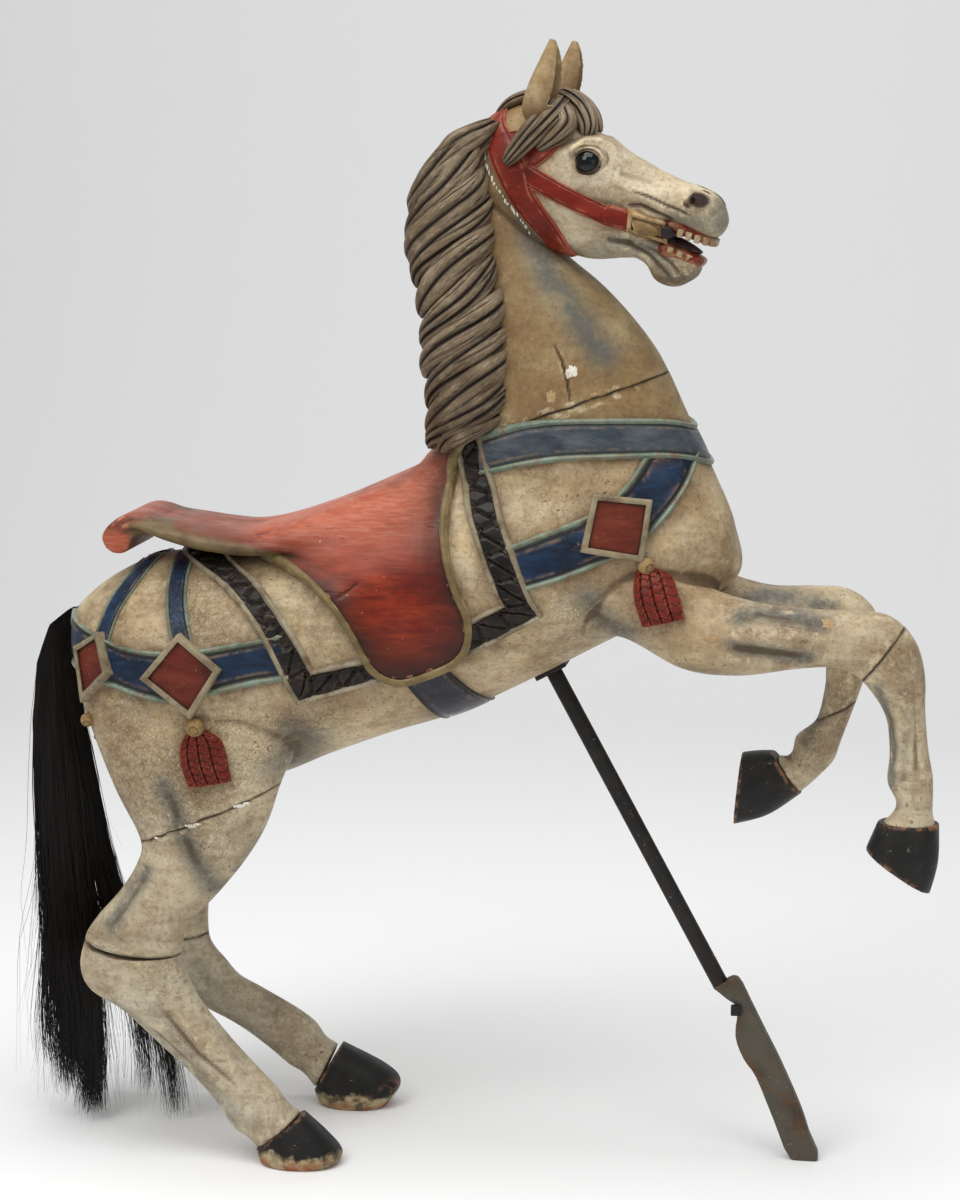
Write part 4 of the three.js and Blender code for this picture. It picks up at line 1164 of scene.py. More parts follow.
bridle = []
for side, tag in SIDES:
    bridle += [head_band("crown_strap_" + tag, CROWN_REAR, CROWN_FRONT, 80, 2.0, 4.6, side),
               head_band("cheek_strap_" + tag, CHEEK_TOP, CHEEK_FOOT, 70, 1.5, 4.1, side),
               head_band("brow_band_" + tag, BROW_TOP, BROW_FOOT, 40, 1.0, 3.8, side)]


def head_spot(points, side):
    ground, out = on_head(np.array(points, float)[None], side)
    return ground[0], out[0]


BUCKLE = [(199, 1203), (241, 1188), (238, 1163), (197, 1177)]
TONGUE_TOP = [(170, 1196), (173, 1203), (182, 1205), (200, 1200), (212, 1197)]
TONGUE_FOOT = [(170, 1194), (172, 1184), (180, 1180), (198, 1175), (210, 1172)]
buckles = [plate("buckle_" + tag, BUCKLE, side, 6.5, 5, 8, head_spot) for side, tag in SIDES]
for side, tag in SIDES:
    first, second = (resampled(rounded(line), 50) for line in (TONGUE_TOP, TONGUE_FOOT))
    bridle.append(relief("strap_tongue_" + tag, first, second, even_columns(22),
                         leather_height(3.6, 7.0, 2.0),
                         side, "head", sink=2))


# ------------------------------------------------------------------ mouth
def turned_part(piece):
    put(piece, yawed(get(piece), HEAD_TURN))
    return piece


gums = [turned_part(limb("gum_low", [[226, 1160, 232, 1146, 21, 0], [244, 1163, 238, 1140, 24, 0],
                                     [262, 1155, 254, 1134, 22, 0], [281, 1145, 276, 1130, 17, 0],
                                     [287, 1141, 284, 1134, 9, 0]], sides=40, square=2.8)),
        turned_part(limb("gum_up", [[232, 1192, 234, 1177, 25, 0], [258, 1188, 259, 1169, 27, 0],
                                    [284, 1178, 282, 1160.5, 22, 0], [299, 1172, 296, 1158, 12, 0]],
                         sides=40, square=2.8))]
tongue = turned_part(limb("tongue", [[222, 1172, 222, 1154, 15, 0], [240, 1172, 238, 1154, 16, 0],
                                     [258, 1165, 255, 1150, 15, 0], [274, 1156, 272, 1147, 11, 0],
                                     [282, 1150, 281, 1147, 5, 0]], sides=32))


TOOTH_DEEP, TOOTH_WIDE, TOOTH_TAPER = 6.0, 7.8, 0.86


def tooth(name, place, size, tilt, spin):
    """A block narrowed towards its biting end, turned along the jaw and leant forwards."""
    piece = primitive(name, "cube", size=1)
    x, y, z = (get(piece) * MM * size).T
    narrow = np.where(z > 0, 1.0, TOOTH_TAPER)
    x, y = x * narrow, y * narrow
    x, y = x * math.cos(spin) - y * math.sin(spin), x * math.sin(spin) + y * math.cos(spin)
    x, z = x * math.cos(tilt) + z * math.sin(tilt), z * math.cos(tilt) - x * math.sin(tilt)
    put(piece, yawed(np.stack([x, y, z], -1) + place, HEAD_TURN))
    return worked(piece, "BEVEL", width=1.4 * MM, segments=3)


TEETH_UP = [  # place along the jaw, to the side, height, turn
    (261, 26.5, 1172.5, 1.4), (271, 25.0, 1169, 1.3), (281, 22.0, 1165.5, 1.1), (290, 17.0, 1163, 0.8),
    (296, 10.5, 1161.5, 0.45), (298.5, 3.6, 1161, 0.1)]
TEETH_LOW = [(248, 22.0, 1152.5, 1.45), (259, 20.5, 1147.5, 1.25), (269.5, 17.0, 1143, 0.95),
             (277.5, 10.5, 1139.5, 0.5), (280.5, 3.5, 1138, 0.1)]
teeth = []
for row, places, high, tilt in (("up", TEETH_UP, 10, 0.26), ("low", TEETH_LOW, 8, 0.42)):
    for i, (x, y, z, spin) in enumerate(places):
        for side, tag in SIDES:
            size = (TOOTH_DEEP, TOOTH_WIDE, high)
            teeth.append(tooth(f"tooth_{row}_{i + 1}_{tag}", (x, side * y, z), size, tilt, side * spin))

roller = primitive("bit_roller", "cylinder", vertices=40, radius=8.5 * MM, depth=88 * MM,
                   rotation=(math.pi / 2, 0, 0))
bpy.ops.object.transform_apply(location=False, rotation=True, scale=False)
put(roller, yawed(get(roller) * [0.9, 0.82, 0.9] + [247, 0, 1173], HEAD_TURN))
worked(roller, "BEVEL", width=2.5 * MM, segments=3, limit_method="ANGLE")
bit_cheeks = [relief("bit_cheek_" + tag, resampled([(204, 1192), (222, 1188), (234, 1180)], 30),
                     resampled([(206, 1170), (222, 1165), (232, 1170)], 30), even_columns(16),
                     round_height(5, 5, 0), side, "head", sink=3) for side, tag in SIDES]

# ------------------------------------------------------------------ eyes
def head_side(xz, side):
    """How far out the head's side stands at places (x, z) of the unturned head."""
    return yawed(on_head(xz, side)[0], -HEAD_TURN)[..., 1] * side


def eyelid(name, side):
    """Wrinkled lids that close round the glass ball and run out into the cheek."""
    angle = np.linspace(0, 2 * np.pi, 96, endpoint=False)[:, None]
    reach = np.array([13.0, 13.2, 13.7, 14.4, 15.2, 16.2, 17.2, 18.6, 20.0, 21.5, 23.0, 25.0, 27.0, 29.0])
    upper = np.clip(np.sin(angle - 0.15), 0, 1)
    lower = np.clip(-np.sin(angle - 0.15), 0, 1)
    corner = np.abs(np.cos(angle - 0.15)) ** 8
    wide = reach * (1 + 0.16 * corner * np.exp(-((reach - 12) / 4) ** 2)) * (1 - 0.10 * lower)
    x, z = EYE_X + wide * np.cos(angle), LID_Z + wide * np.sin(angle) * (1 - 0.05 * upper)
    ball = EYE_OUT + 14 * np.sqrt(np.clip(1 - (wide / EYE_RADIUS) ** 2, 0, 1)) + 1.6
    skin = calmed(np.repeat(head_side(np.stack([x, z], -1), side)[..., None], 3, -1), 3)[..., 0]
    share = eased(reach, 14.0, 24.0)[None]
    def ridge(at, width):
        return np.exp(-((reach - at) / width) ** 2)
    lip = 1.2 * ridge(14.4, 1.2) - 2.2 * ridge(13.0, 0.5)
    fold = (1.9 * ridge(18.0, 1.5) - 1.2 * ridge(15.9, 0.9)) * (0.35 + 0.75 * upper)
    fold = fold + 1.3 * ridge(22.5, 1.6) * upper - 0.8 * ridge(20.4, 1.0) * upper
    fold = fold + 0.9 * ridge(19.5, 1.3) * lower
    y = np.maximum(ball, skin - 3) * (1 - share) + skin * share + lip + fold
    y = y - 1.6 * eased(reach, 25.5, 29.0)
    inner = y - 2.0 - 3.0 * eased(reach, 14, 20)
    return ring_shell(name, *(yawed(np.stack([x, side * v, z], -1), HEAD_TURN) for v in (y, inner)))


def flare(name, side):
    """The raised rim of a nostril."""
    angle = np.linspace(0, 2 * np.pi, 72, endpoint=False)[:, None]
    reach = np.array([-1.4, -1.0, 0.0, 1.4, 3.0, 4.6, 6.4, 8.4, 10.6, 13.0])
    x = NOSTRIL_X + (11.2 + reach) * np.cos(angle)
    z = NOSTRIL_Z + (9.2 + reach) * np.sin(angle) + 2.6 * np.cos(angle)
    wide = 13 + np.clip(reach + 1, 0, 99) * 0.9
    ground = np.stack([NOSTRIL_X + wide * np.cos(angle), NOSTRIL_Z + wide * np.sin(angle) * 0.85], -1)
    around = yawed(on_head(ground, side)[0], -HEAD_TURN)
    skin = calmed(np.repeat((around[..., 1] * side)[..., None], 3, -1), 4)[..., 0]
    z = np.minimum(z, around[..., 2] + 1.0)
    x = np.minimum(x, around[..., 0] + 1.0)
    rise = 4.2 * np.exp(-((reach - 1.8) / 2.8) ** 2) * (0.6 + 0.4 * np.cos(angle - 2.2))
    y = skin + rise - 1.6 * eased(reach, 7.0, 13.0) - 2.5 * (reach < -1.2)
    inner = y - 3.0 - 6.0 * (reach < 3)
    return ring_shell(name, *(yawed(np.stack([x, side * v, z], -1), HEAD_TURN) for v in (y, inner)))


eyes, lids = [], []
for side, tag in SIDES:
    ball = primitive("eye_glass_" + tag, "uv_sphere", segments=64, ring_count=40, radius=EYE_RADIUS * MM,
                     rotation=(math.pi / 2, 0, 0))
    bpy.ops.object.transform_apply(location=False, rotation=True, scale=False)
    put(ball, yawed(get(ball) * [1, 0.9, 1] + [EYE_X, side * EYE_OUT, EYE_Z], HEAD_TURN))
    eyes.append(ball)
    lids.append(eyelid("eyelid_" + tag, side))

flares = [flare("nostril_" + tag, side) for side, tag in SIDES]

# ------------------------------------------------------------------ tail
DOCK_Z, TAIL_BACK, HAIR_LOW, HAIR_STEPS = 686, -606, 4.0, 22


def strands(name, locks, hairs, thick, loose, seed):
    """Loose horsehair: thin three-sided hairs gathered in locks that hang from the dock."""
    rng = np.random.default_rng(seed)
    rows = np.array(TAIL, float)[::-1]
    steps = HAIR_STEPS
    s = np.linspace(0, 1, steps)
    points, faces = [], []
    for u0, v0, tip_x, tip_z, sway in locks:
        for _ in range(hairs):
            reach = tip_z + rng.exponential(26) + (rng.random() < 0.30) * rng.uniform(0, 260)
            z = DOCK_Z - (DOCK_Z - reach) * s
            left, right, half = (np.interp(z, rows[:, 1], rows[:, c]) for c in (0, 2, 4))
            u, v = u0 + rng.normal(0, 0.20), v0 + rng.normal(0, 0.25)
            x = (left + right) / 2 + (right - left) / 2 * np.clip(u, -0.95, 0.95)
            y = half * np.clip(v, -0.95, 0.95) * np.ones(steps)
            fall = np.clip((480 - z) / (500 - tip_z), 0, 1) ** 1.7
            pull = fall * (1 - 0.12 * rng.random())
            aim = tip_x + rng.normal(0, 3 + 12 * loose) + rng.normal(0, 12) * (1 - fall)
            x = x * (1 - pull) + (aim + 26 * np.sin(fall * 3.1) * sway) * pull
            y = y * (1 - pull) + (v0 * 16 + rng.normal(0, 5 + 8 * loose)) * pull
            x = x + rng.normal(0, 1) * loose * 22 * s ** 2.4
            y = y + rng.normal(0, 1) * loose * 22 * s ** 2.4
            x = x + (2.2 + 3 * loose) * np.sin(s * rng.uniform(5, 12) + rng.uniform(0, 6)) * s
            x = x + rng.normal(0, 5) * eased(z, 240, 10) * np.sin(s * 9)
            y = y + (1.6 + 3 * loose) * np.sin(s * rng.uniform(5, 12) + rng.uniform(0, 6)) * s
            x = np.maximum(x, TAIL_BACK - rng.uniform(0, 8))
            radius = thick * rng.uniform(0.7, 1.3) * (1 - 0.75 * s ** 3)
            base = len(points)
            for k in range(steps):
                for c in range(3):
                    a = 2 * math.pi * c / 3
                    around = x[k] + radius[k] * math.cos(a), y[k] + radius[k] * math.sin(a)
                    points.append((*around, max(z[k], HAIR_LOW)))
            for k in range(steps - 1):
                for c in range(3):
                    a, b = base + k * 3 + c, base + k * 3 + (c + 1) % 3
                    faces.append((a, b, b + 3, a + 3)[::-1])
            end = len(points) - 1
            faces += [(base, base + 1, base + 2), (end, end - 1, end - 2)]
    return mesh_piece(name, points, faces)


rng = np.random.default_rng(12)
TAIL_TIPS = [(-566, 70, -1.4), (-552, 34, -0.8), (-530, 8, 0.5), (-534, 16, 0.9), (-508, 8, -0.4),
             (-518, 10, 0.2), (-524, 30, -0.8), (-446, 40, 1.0), (-406, 6, 1.3), (-543, 50, -0.6)]
tail_locks = []
for i in range(46):
    if i < 30:
        tip_x, tip_z, sway = TAIL_TIPS[i % 10]
        u0 = np.clip((tip_x + 524) / 70, -0.8, 0.8)
    else:
        tip_x, tip_z, sway = rng.uniform(-556, -510), rng.uniform(40, 200), rng.uniform(-0.9, 0.9)
        u0 = (tip_x + 528) / 42
    tail_locks.append((u0 + rng.normal(0, 0.14), rng.uniform(-0.85, 0.85), tip_x, tip_z, sway))
tail_core = limb("tail_core", [[a + 6, z, b - 6, w, h * 0.75, y] for a, z, b, w, h, y in TAIL[:5]] + [
    [-567, 340, -520, 340, 18, 0], [-557, 260, -524, 260, 11, 0], [-548, 190, -532, 190, 4, 0]], sides=40)
tail_hair = [strands("tail_hair_a", tail_locks[::2], 62, 0.62, 0.20, 5),
             strands("tail_hair_b", tail_locks[1::2], 62, 0.62, 0.30, 6),
             strands("tail_wisps", tail_locks, 16, 0.3, 1.0, 8)]

# ------------------------------------------------------------------ iron work
POLE_TOP, POLE_FOOT = Vector((94, 0, 622)), Vector((310.5, 0, 222.2))
POLE_RADIUS = 10.4
pole = primitive("iron_pole", "cylinder", vertices=48, radius=POLE_RADIUS * MM,
                 depth=(POLE_FOOT - POLE_TOP).length * MM, location=(POLE_TOP + POLE_FOOT) / 2 * MM,
                 rotation=(POLE_FOOT - POLE_TOP).to_track_quat("Z", "Y").to_euler())
bpy.ops.object.transform_apply(location=True, rotation=True, scale=True)
worked(pole, "BEVEL", width=1 * MM, segments=2, limit_method="ANGLE")
LEVER = [(300, 222), (316, 209), (331, 196), (329, 160), (340, 130), (356, 107), (379, 52), (402, 0.6),
         (436, 0.6),
         (424, 35), (412, 70), (386, 128), (366, 167), (349, 201), (331, 234), (314, 230)]
lever = side_block("iron_foot", rounded(LEVER + LEVER[:1], 3)[:-1].tolist(), -11, 11)
worked(lever, "BEVEL", width=2.2 * MM, segments=3, limit_method="ANGLE", angle_limit=math.radians(50))
softened(lever, 1.5, 2)
bolt = primitive("square_bolt", "cube", size=1)
put(bolt, get(bolt) * MM * [13, 9, 13] + [330, -15.4, 196])
worked(bolt, "BEVEL", width=1.2 * MM, segments=3)
belly_plate = primitive("socket_plate", "cube", size=1)
POLE_LEAN = math.atan2(215, 397)
x, y, z = (get(belly_plate) * MM * [42, 42, 6]).T
put(belly_plate, np.stack([x * math.cos(POLE_LEAN) - z * math.sin(POLE_LEAN) + 92, y,
                           z * math.cos(POLE_LEAN) + x * math.sin(POLE_LEAN) + 625], -1))
worked(belly_plate, "BEVEL", width=1.2 * MM, segments=3)


# ------------------------------------------------------------------ filler, plugs and small repairs
def near_spot(x, z):
    """A place on the carved horse seen from its near side, and the way out of it."""
    best = None
    for tree in (carved_tree, head_tree):
        hit, normal = tree.ray_cast(Vector((x, NEAR * 300, z)), Vector((0, -NEAR, 0)))[:2]
        if hit is not None and (best is None or hit.y * NEAR > best[0].y * NEAR):
            best = hit, normal
    return best or carved_tree.find_nearest(Vector((x, NEAR * 60, z)))[:2]


def lump(name, x, z, along, across, high, seed):
    """A small uneven lump on the surface, flattened against it."""
    centre, normal = near_spot(x, z)
    piece = primitive(name, "ico_sphere", subdivisions=4, radius=1)
    points = get(piece) * MM
    wave = 1 + 0.22 * np.sin(points[:, 0] * 5 + seed) * np.sin(points[:, 1] * 4 + seed * 2) \
        + 0.12 * np.sin(points[:, 0] * 13 + seed * 3)
    points[:, :2] *= wave[:, None]
    points = points * [along, across, high]
    turn = np.array(normal.to_track_quat("Z", "Y").to_matrix())
    put(piece, points @ turn.T + np.array(centre))
    return piece


PLASTER_LINE = [(10, 1283), (14, 1263), (22, 1239), (35, 1220), (46, 1203), (60, 1186), (69, 1172)]
fillers = []
for i, (x, z, along, across) in enumerate([
        (-388, 421, 3, 1.6), (-341, 440, 8, 2.4), (-333, 443, 5, 2), (-280, 467, 8, 2.4), (-272, 470, 4, 2),
        (-236, 485, 3, 1.4), (126, 1007, 6, 7), (120, 1003, 4, 5)]):
    fillers.append(lump(f"filler_{i + 1}", x, z, along, across, 1.3, i + 1.0))
for i, (x, z) in enumerate(resampled(rounded(PLASTER_LINE), 22)):
    fillers.append(lump(f"plaster_{i + 1}", x + random.uniform(-2, 1), z + random.uniform(-2, 2),
                        random.uniform(0.8, 1.9), random.uniform(1.6, 3.8), 0.7, i * 1.7))
plugs = [lump("plug_knee", 438, 723 - 14, 7, 7, 0.9, 31.0), lump("plug_neck", 101, 976, 6, 7, 1.0, 33.0),
         lump("plug_forearm", 300, 690, 7, 5, 0.8, 34.0)]

# ------------------------------------------------------------------ marks the paints read
AIRBRUSH = [  # blue-grey shading: line, width, strength
    ([(58, 1215), (73, 1164), (98, 1112), (130, 1070), (161, 1028)], 21, 1.0),
    ([(150, 735), (168, 705), (192, 692)], 20, 0.9), ([(-214, 560), (-200, 542), (-226, 516)], 26, 0.9),
    ([(-374, 491), (-358, 447), (-337, 396), (-319, 359)], 15, 1.0),
    ([(-401, 376), (-425, 345), (-449, 305)], 11, 0.9), ([(-446, 440), (-432, 400)], 14, 0.7),
    ([(334, 714), (358, 720), (394, 715), (435, 708)], 11, 1.0),
    ([(326, 680), (358, 675), (394, 670), (416, 668)], 10, 1.0),
    ([(500, 630), (513, 593), (520, 557), (517, 507)], 7, 0.9),
    ([(530, 631), (534, 570), (533, 508)], 5, 0.6),
    ([(-452, 200), (-390, 152), (-330, 98), (-296, 50)], 9, 0.5),
    ([(-372, 262), (-339, 209), (-288, 133)], 8, 0.25),
    ([(-395, 196), (-341, 126), (-290, 66), (-262, 50)], 9, 0.4),
    ([(-215, 490), (-250, 430), (-290, 380)], 9, 0.5),
    ([(420, 560), (408, 530), (430, 600)], 9, 0.7), ([(300, 640), (240, 642), (180, 668)], 14, 0.5),
]
HEAD_BLUE = [
    ([(177, 1164), (200, 1160), (225, 1146), (240, 1129), (250, 1117)], 6, 1.0),
    ([(212, 1158), (231, 1152), (249, 1138), (262, 1123)], 5, 1.0),
    ([(310, 1212), (306, 1186), (285, 1186), (258, 1192)], 12, 0.7),
    ([(228, 1150), (250, 1122), (288, 1108)], 19, 0.7),
    ([(120, 1146), (150, 1146), (170, 1152)], 12, 0.5), ([(262, 1108), (284, 1118)], 12, 0.6),
    ([(206, 1222), (226, 1215), (248, 1205), (276, 1195)], 2, 0.9),
    ([(201, 1206), (216, 1206), (232, 1198), (251, 1189)], 2, 0.9),
]


# the harness and hair whose nearness darkens the cream paint: painted shade along their edges, with some
# grime
dressed = straps + blankets + [saddle] + rolls + plates + tassels + bridle + mane + forelock
corners = np.concatenate([get(piece)[::2] for piece in dressed])
dressing = KDTree(len(corners))
for count, corner in enumerate(corners):
    dressing.insert(corner, count)
dressing.balance()


STAINS = [  # old brown varnish: x, z, size, strength
    (60, 1060, 60, 1.0), (100, 985, 70, 1.0), (10, 960, 60, 0.8), (190, 960, 60, 0.8),
    (40, 1160, 50, 0.9), (150, 880, 60, 0.4), (250, 840, 70, 0.9), (272, 770, 60, 0.9),
    (200, 760, 50, 0.4), (-60, 700, 60, 0.3), (-420, 640, 60, 0.4), (-470, 590, 60, 0.5),
    (-300, 740, 60, 0.4), (-440, 500, 60, 0.3), (-330, 300, 60, 0.3), (-430, 330, 50, 0.5),
    (-250, 60, 40, 0.4), (300, 680, 70, 0.9), (400, 680, 60, 0.7), (530, 680, 60, 0.8),
    (-426, 545, 60, 0.9), (440, 560, 60, 0.7), (380, 500, 40, 0.7), (560, 520, 40, 0.4),
    (-280, 120, 50, 0.7)
]
HEAD_STAINS = [(150, 1256, 24, 1.0), (120, 1240, 26, 0.5), (262, 1214, 18, 0.6), (80, 1320, 26, 0.7),
               (88, 1385, 30, 1.0), (96, 1345, 30, 0.9), (60, 1385, 22, 0.9), (216, 1200, 16, 0.6),
               (112, 1180, 30, 0.6), (60, 1304, 22, 0.5)]


SEAMS = [(thigh_near, NEAR), (hock_near, NEAR), (knee_near, NEAR), (thigh_far, FAR), (hock_far, FAR),
         (knee_far, FAR), (neck_root, 0)]


def painted_marks(piece, head=False):
    """Where the cream paint is shaded blue-grey, darkened next to the harness with painted shade and grime,
    warm or pale.
    """
    weather(piece)
    points = get(piece)
    side = points[:, [0, 2]]
    seam = np.zeros(len(points))
    for line, across in SEAMS:
        there = points[:, 1] * across >= 0
        seam = np.maximum(seam, np.exp(-(line_distance(side, line)[0] / SEAM_WIDE) ** 2) * there)
    mark(piece, "seam", seam)
    blue = np.zeros(len(points))
    level = yawed(points, -HEAD_TURN)[:, [0, 2]]
    for seen, strokes in ((side, AIRBRUSH), (level, HEAD_BLUE if head else [])):
        for line, width, strength in strokes:
            blue = np.maximum(blue, strength * np.exp(-(line_distance(seen, line)[0] / width) ** 2))
    mark(piece, "blue", blue)
    # close: painted shade, with some grime, where the straps, plates, bridle and mane meet the body
    mark(piece, "close", [math.exp(-dressing.find(p)[2] / 9) for p in points])
    x, z = points[:, 0], points[:, 2]
    warm = 0.2 * eased(z, 150, 420) + 0.3 * eased(z, 420, 620) + 0.5 * eased(z, 850, 980)
    warm = warm * (1 - 0.4 * eased(x, 285, 350))
    mark(piece, "warm", warm * (1 - 0.85 * eased(x, 50, 110) * eased(z, 1110, 1150)))
    stain = np.zeros(len(points))
    for seen, spots in ((side, STAINS), (level, HEAD_STAINS if head else [])):
        for px, pz, size, strength in spots:
            away = np.hypot(seen[:, 0] - px, seen[:, 1] - pz) / size
            stain = np.maximum(stain, strength * np.exp(-away ** 2))
    mark(piece, "stain", stain)
    pit = np.zeros(len(points))
    if head:
        for s in (NEAR, FAR):
            hole = yawed(np.array([286, s * 30, 1214.0]), HEAD_TURN)
            pit = np.maximum(pit, 1.2 * np.exp(-(np.linalg.norm(points - hole, axis=1) / 13) ** 6))
    mark(piece, "pit", np.clip(pit, 0, 1))


for piece in (whole, hind_near, hind_far, fore_near, fore_far, shank_near, shank_far):
    painted_marks(piece)
painted_marks(neck, True)
for piece in ears + lids + flares:
    painted_marks(piece, True)
for piece in ears:
    mark(piece, "warm", np.full(len(piece.data.vertices), 0.9))
for lid in lids:
    level = yawed(get(lid), -HEAD_TURN)
    mark(lid, "pit", 0.9 - 0.9 * eased(np.hypot(level[:, 0] - EYE_X, level[:, 2] - LID_Z), 14.2, 16.8))
for piece in [saddle, *hooves, *gums, *teeth, tongue, *bridle, lever]:
    weather(piece)

points = get(saddle)
side = points[:, [0, 2]]
front = line_distance(side, FLAP_LINE[:9])[0]
low = line_distance(side, FLAP_LINE[8:20])[0]
mark(saddle, "deep", 1 - eased(points[:, 2] - 0.10 * (points[:, 0] + 120), 715, 860))
# foot: the lowest part of the flap darkened, a painted shadow on the saddle's underside
mark(saddle, "foot", 1 - eased(points[:, 2], 632, 716))
under = np.array([(-480, 795), (-423, 806), (-391, 812), (-368, 798), (-320, 791), (-273, 784), (-237, 774),
                  (-205, 756)])
rear = line_distance(side, under + [0, 6])[0]
mark(saddle, "shadow", np.maximum.reduce([np.exp(-(front / 40) ** 1.5), np.exp(-(low / 34) ** 1.6),
                                          0.7 * np.exp(-(rear / 11) ** 2)]))
mark(saddle, "olive", (1 - eased(points[:, 2] - np.interp(points[:, 0], under[:, 0], under[:, 1]), 1, 9))
     * (1 - eased(points[:, 0], -225, -195)) * eased(points[:, 0], -442, -426) * (np.abs(points[:, 1]) > 40))


# ------------------------------------------------------------------ paints
def tone(r, g, b, gain=1.0):
    """An sRGB colour as light."""
    return tuple(min(1.0, gain * (c / 12.92 if c <= 0.04045 else ((c + 0.055) / 1.055) ** 2.4))
                 for c in (r / 255, g / 255, b / 255)) + (1.0,)


class Paint:
    """A procedural material built up coat by coat."""

    def __init__(self, name, colour, roughness=0.5, metallic=0.0):
        self.material = bpy.data.materials.new(name)
        self.material.use_nodes = True
        self.nodes, self.links = self.material.node_tree.nodes, self.material.node_tree.links
        self.shader = self.nodes["Principled BSDF"]
        self.shader.inputs["Metallic"].default_value = metallic
        self.shader.inputs["Specular IOR Level"].default_value = 0.22
        self.place = self.nodes.new("ShaderNodeTexCoord").outputs["Object"]
        self.colour = colour
        self.rough = roughness
        self.height = 0.0

    def node(self, kind, values, output=0, **settings):
        made = self.nodes.new("ShaderNode" + kind)
        for key, value in settings.items():
            setattr(made, key, value)
        self.feed(made, values)
        return made.outputs[output]

    def feed(self, node, values):
        for key, value in values.items():
            if isinstance(value, bpy.types.NodeSocket):
                self.links.new(value, node.inputs[key])
            else:
                node.inputs[key].default_value = value

    def noise(self, scale, detail=5.0, rough=0.6, stretch=None, twist=0.0):
        place = self.place
        if stretch:
            place = self.node("Mapping", {"Vector": place, "Scale": stretch})
        return self.node("TexNoise", {"Vector": place, "Scale": scale, "Detail": detail, "Roughness": rough,
                                      "Distortion": twist})

    def cells(self, scale):
        warp = self.node("Math", {0: self.noise(scale * 1.5, 2), 1: 0.012}, operation="MULTIPLY")
        place = self.node("VectorMath", {0: self.place, 1: warp}, operation="ADD")
        return self.node("TexVoronoi", {"Vector": place, "Scale": scale}, feature="DISTANCE_TO_EDGE")

    def span(self, value, low, high, to_low=0.0, to_high=1.0):
        return self.node("MapRange", {"Value": value, "From Min": low, "From Max": high, "To Min": to_low,
                                      "To Max": to_high})

    def math(self, operation, a, b):
        return self.node("Math", {0: a, 1: b}, operation=operation)

    def mark(self, name):
        return self.node("Attribute", {}, 2, attribute_name=name)

    def mix(self, factor, a, b):
        return self.node("Mix", {0: factor, 6: a, 7: b}, 2, data_type="RGBA")

    def product(self, *shares):
        total = shares[0]
        for share in shares[1:]:
            total = self.math("MULTIPLY", total, share)
        return total

    def coat(self, colour, *shares):
        """One more colour laid over what is there, as thickly as the product of its shares."""
        self.colour = self.mix(self.product(*shares), self.colour, colour)

    def raised(self, *shares):
        amount = self.product(*shares)
        self.height = amount if isinstance(self.height, float) else self.math("ADD", self.height, amount)

    def done(self, bump=0.0006):
        """The finished material, its relief as deep as bump in metres."""
        self.feed(self.shader, {"Base Color": self.colour, "Roughness": self.rough})
        if not isinstance(self.height, float):
            relief_node = self.node("Bump", {"Strength": 1.0, "Distance": bump, "Height": self.height})
            self.links.new(relief_node, self.shader.inputs["Normal"])
        return self.material


def patches(p, scale, low, high, detail=6.0, stretch=None, twist=0.4):
    return p.span(p.noise(scale, detail, 0.62, stretch, twist), low, high)


def crackle(p, scale, width, low=0.46, high=0.62):
    """Fine age cracks, here and there."""
    line = p.span(p.cells(scale), 0.0, width, 1.0, 0.0)
    return p.math("MULTIPLY", line, patches(p, 5.0, low, high, 3.0))


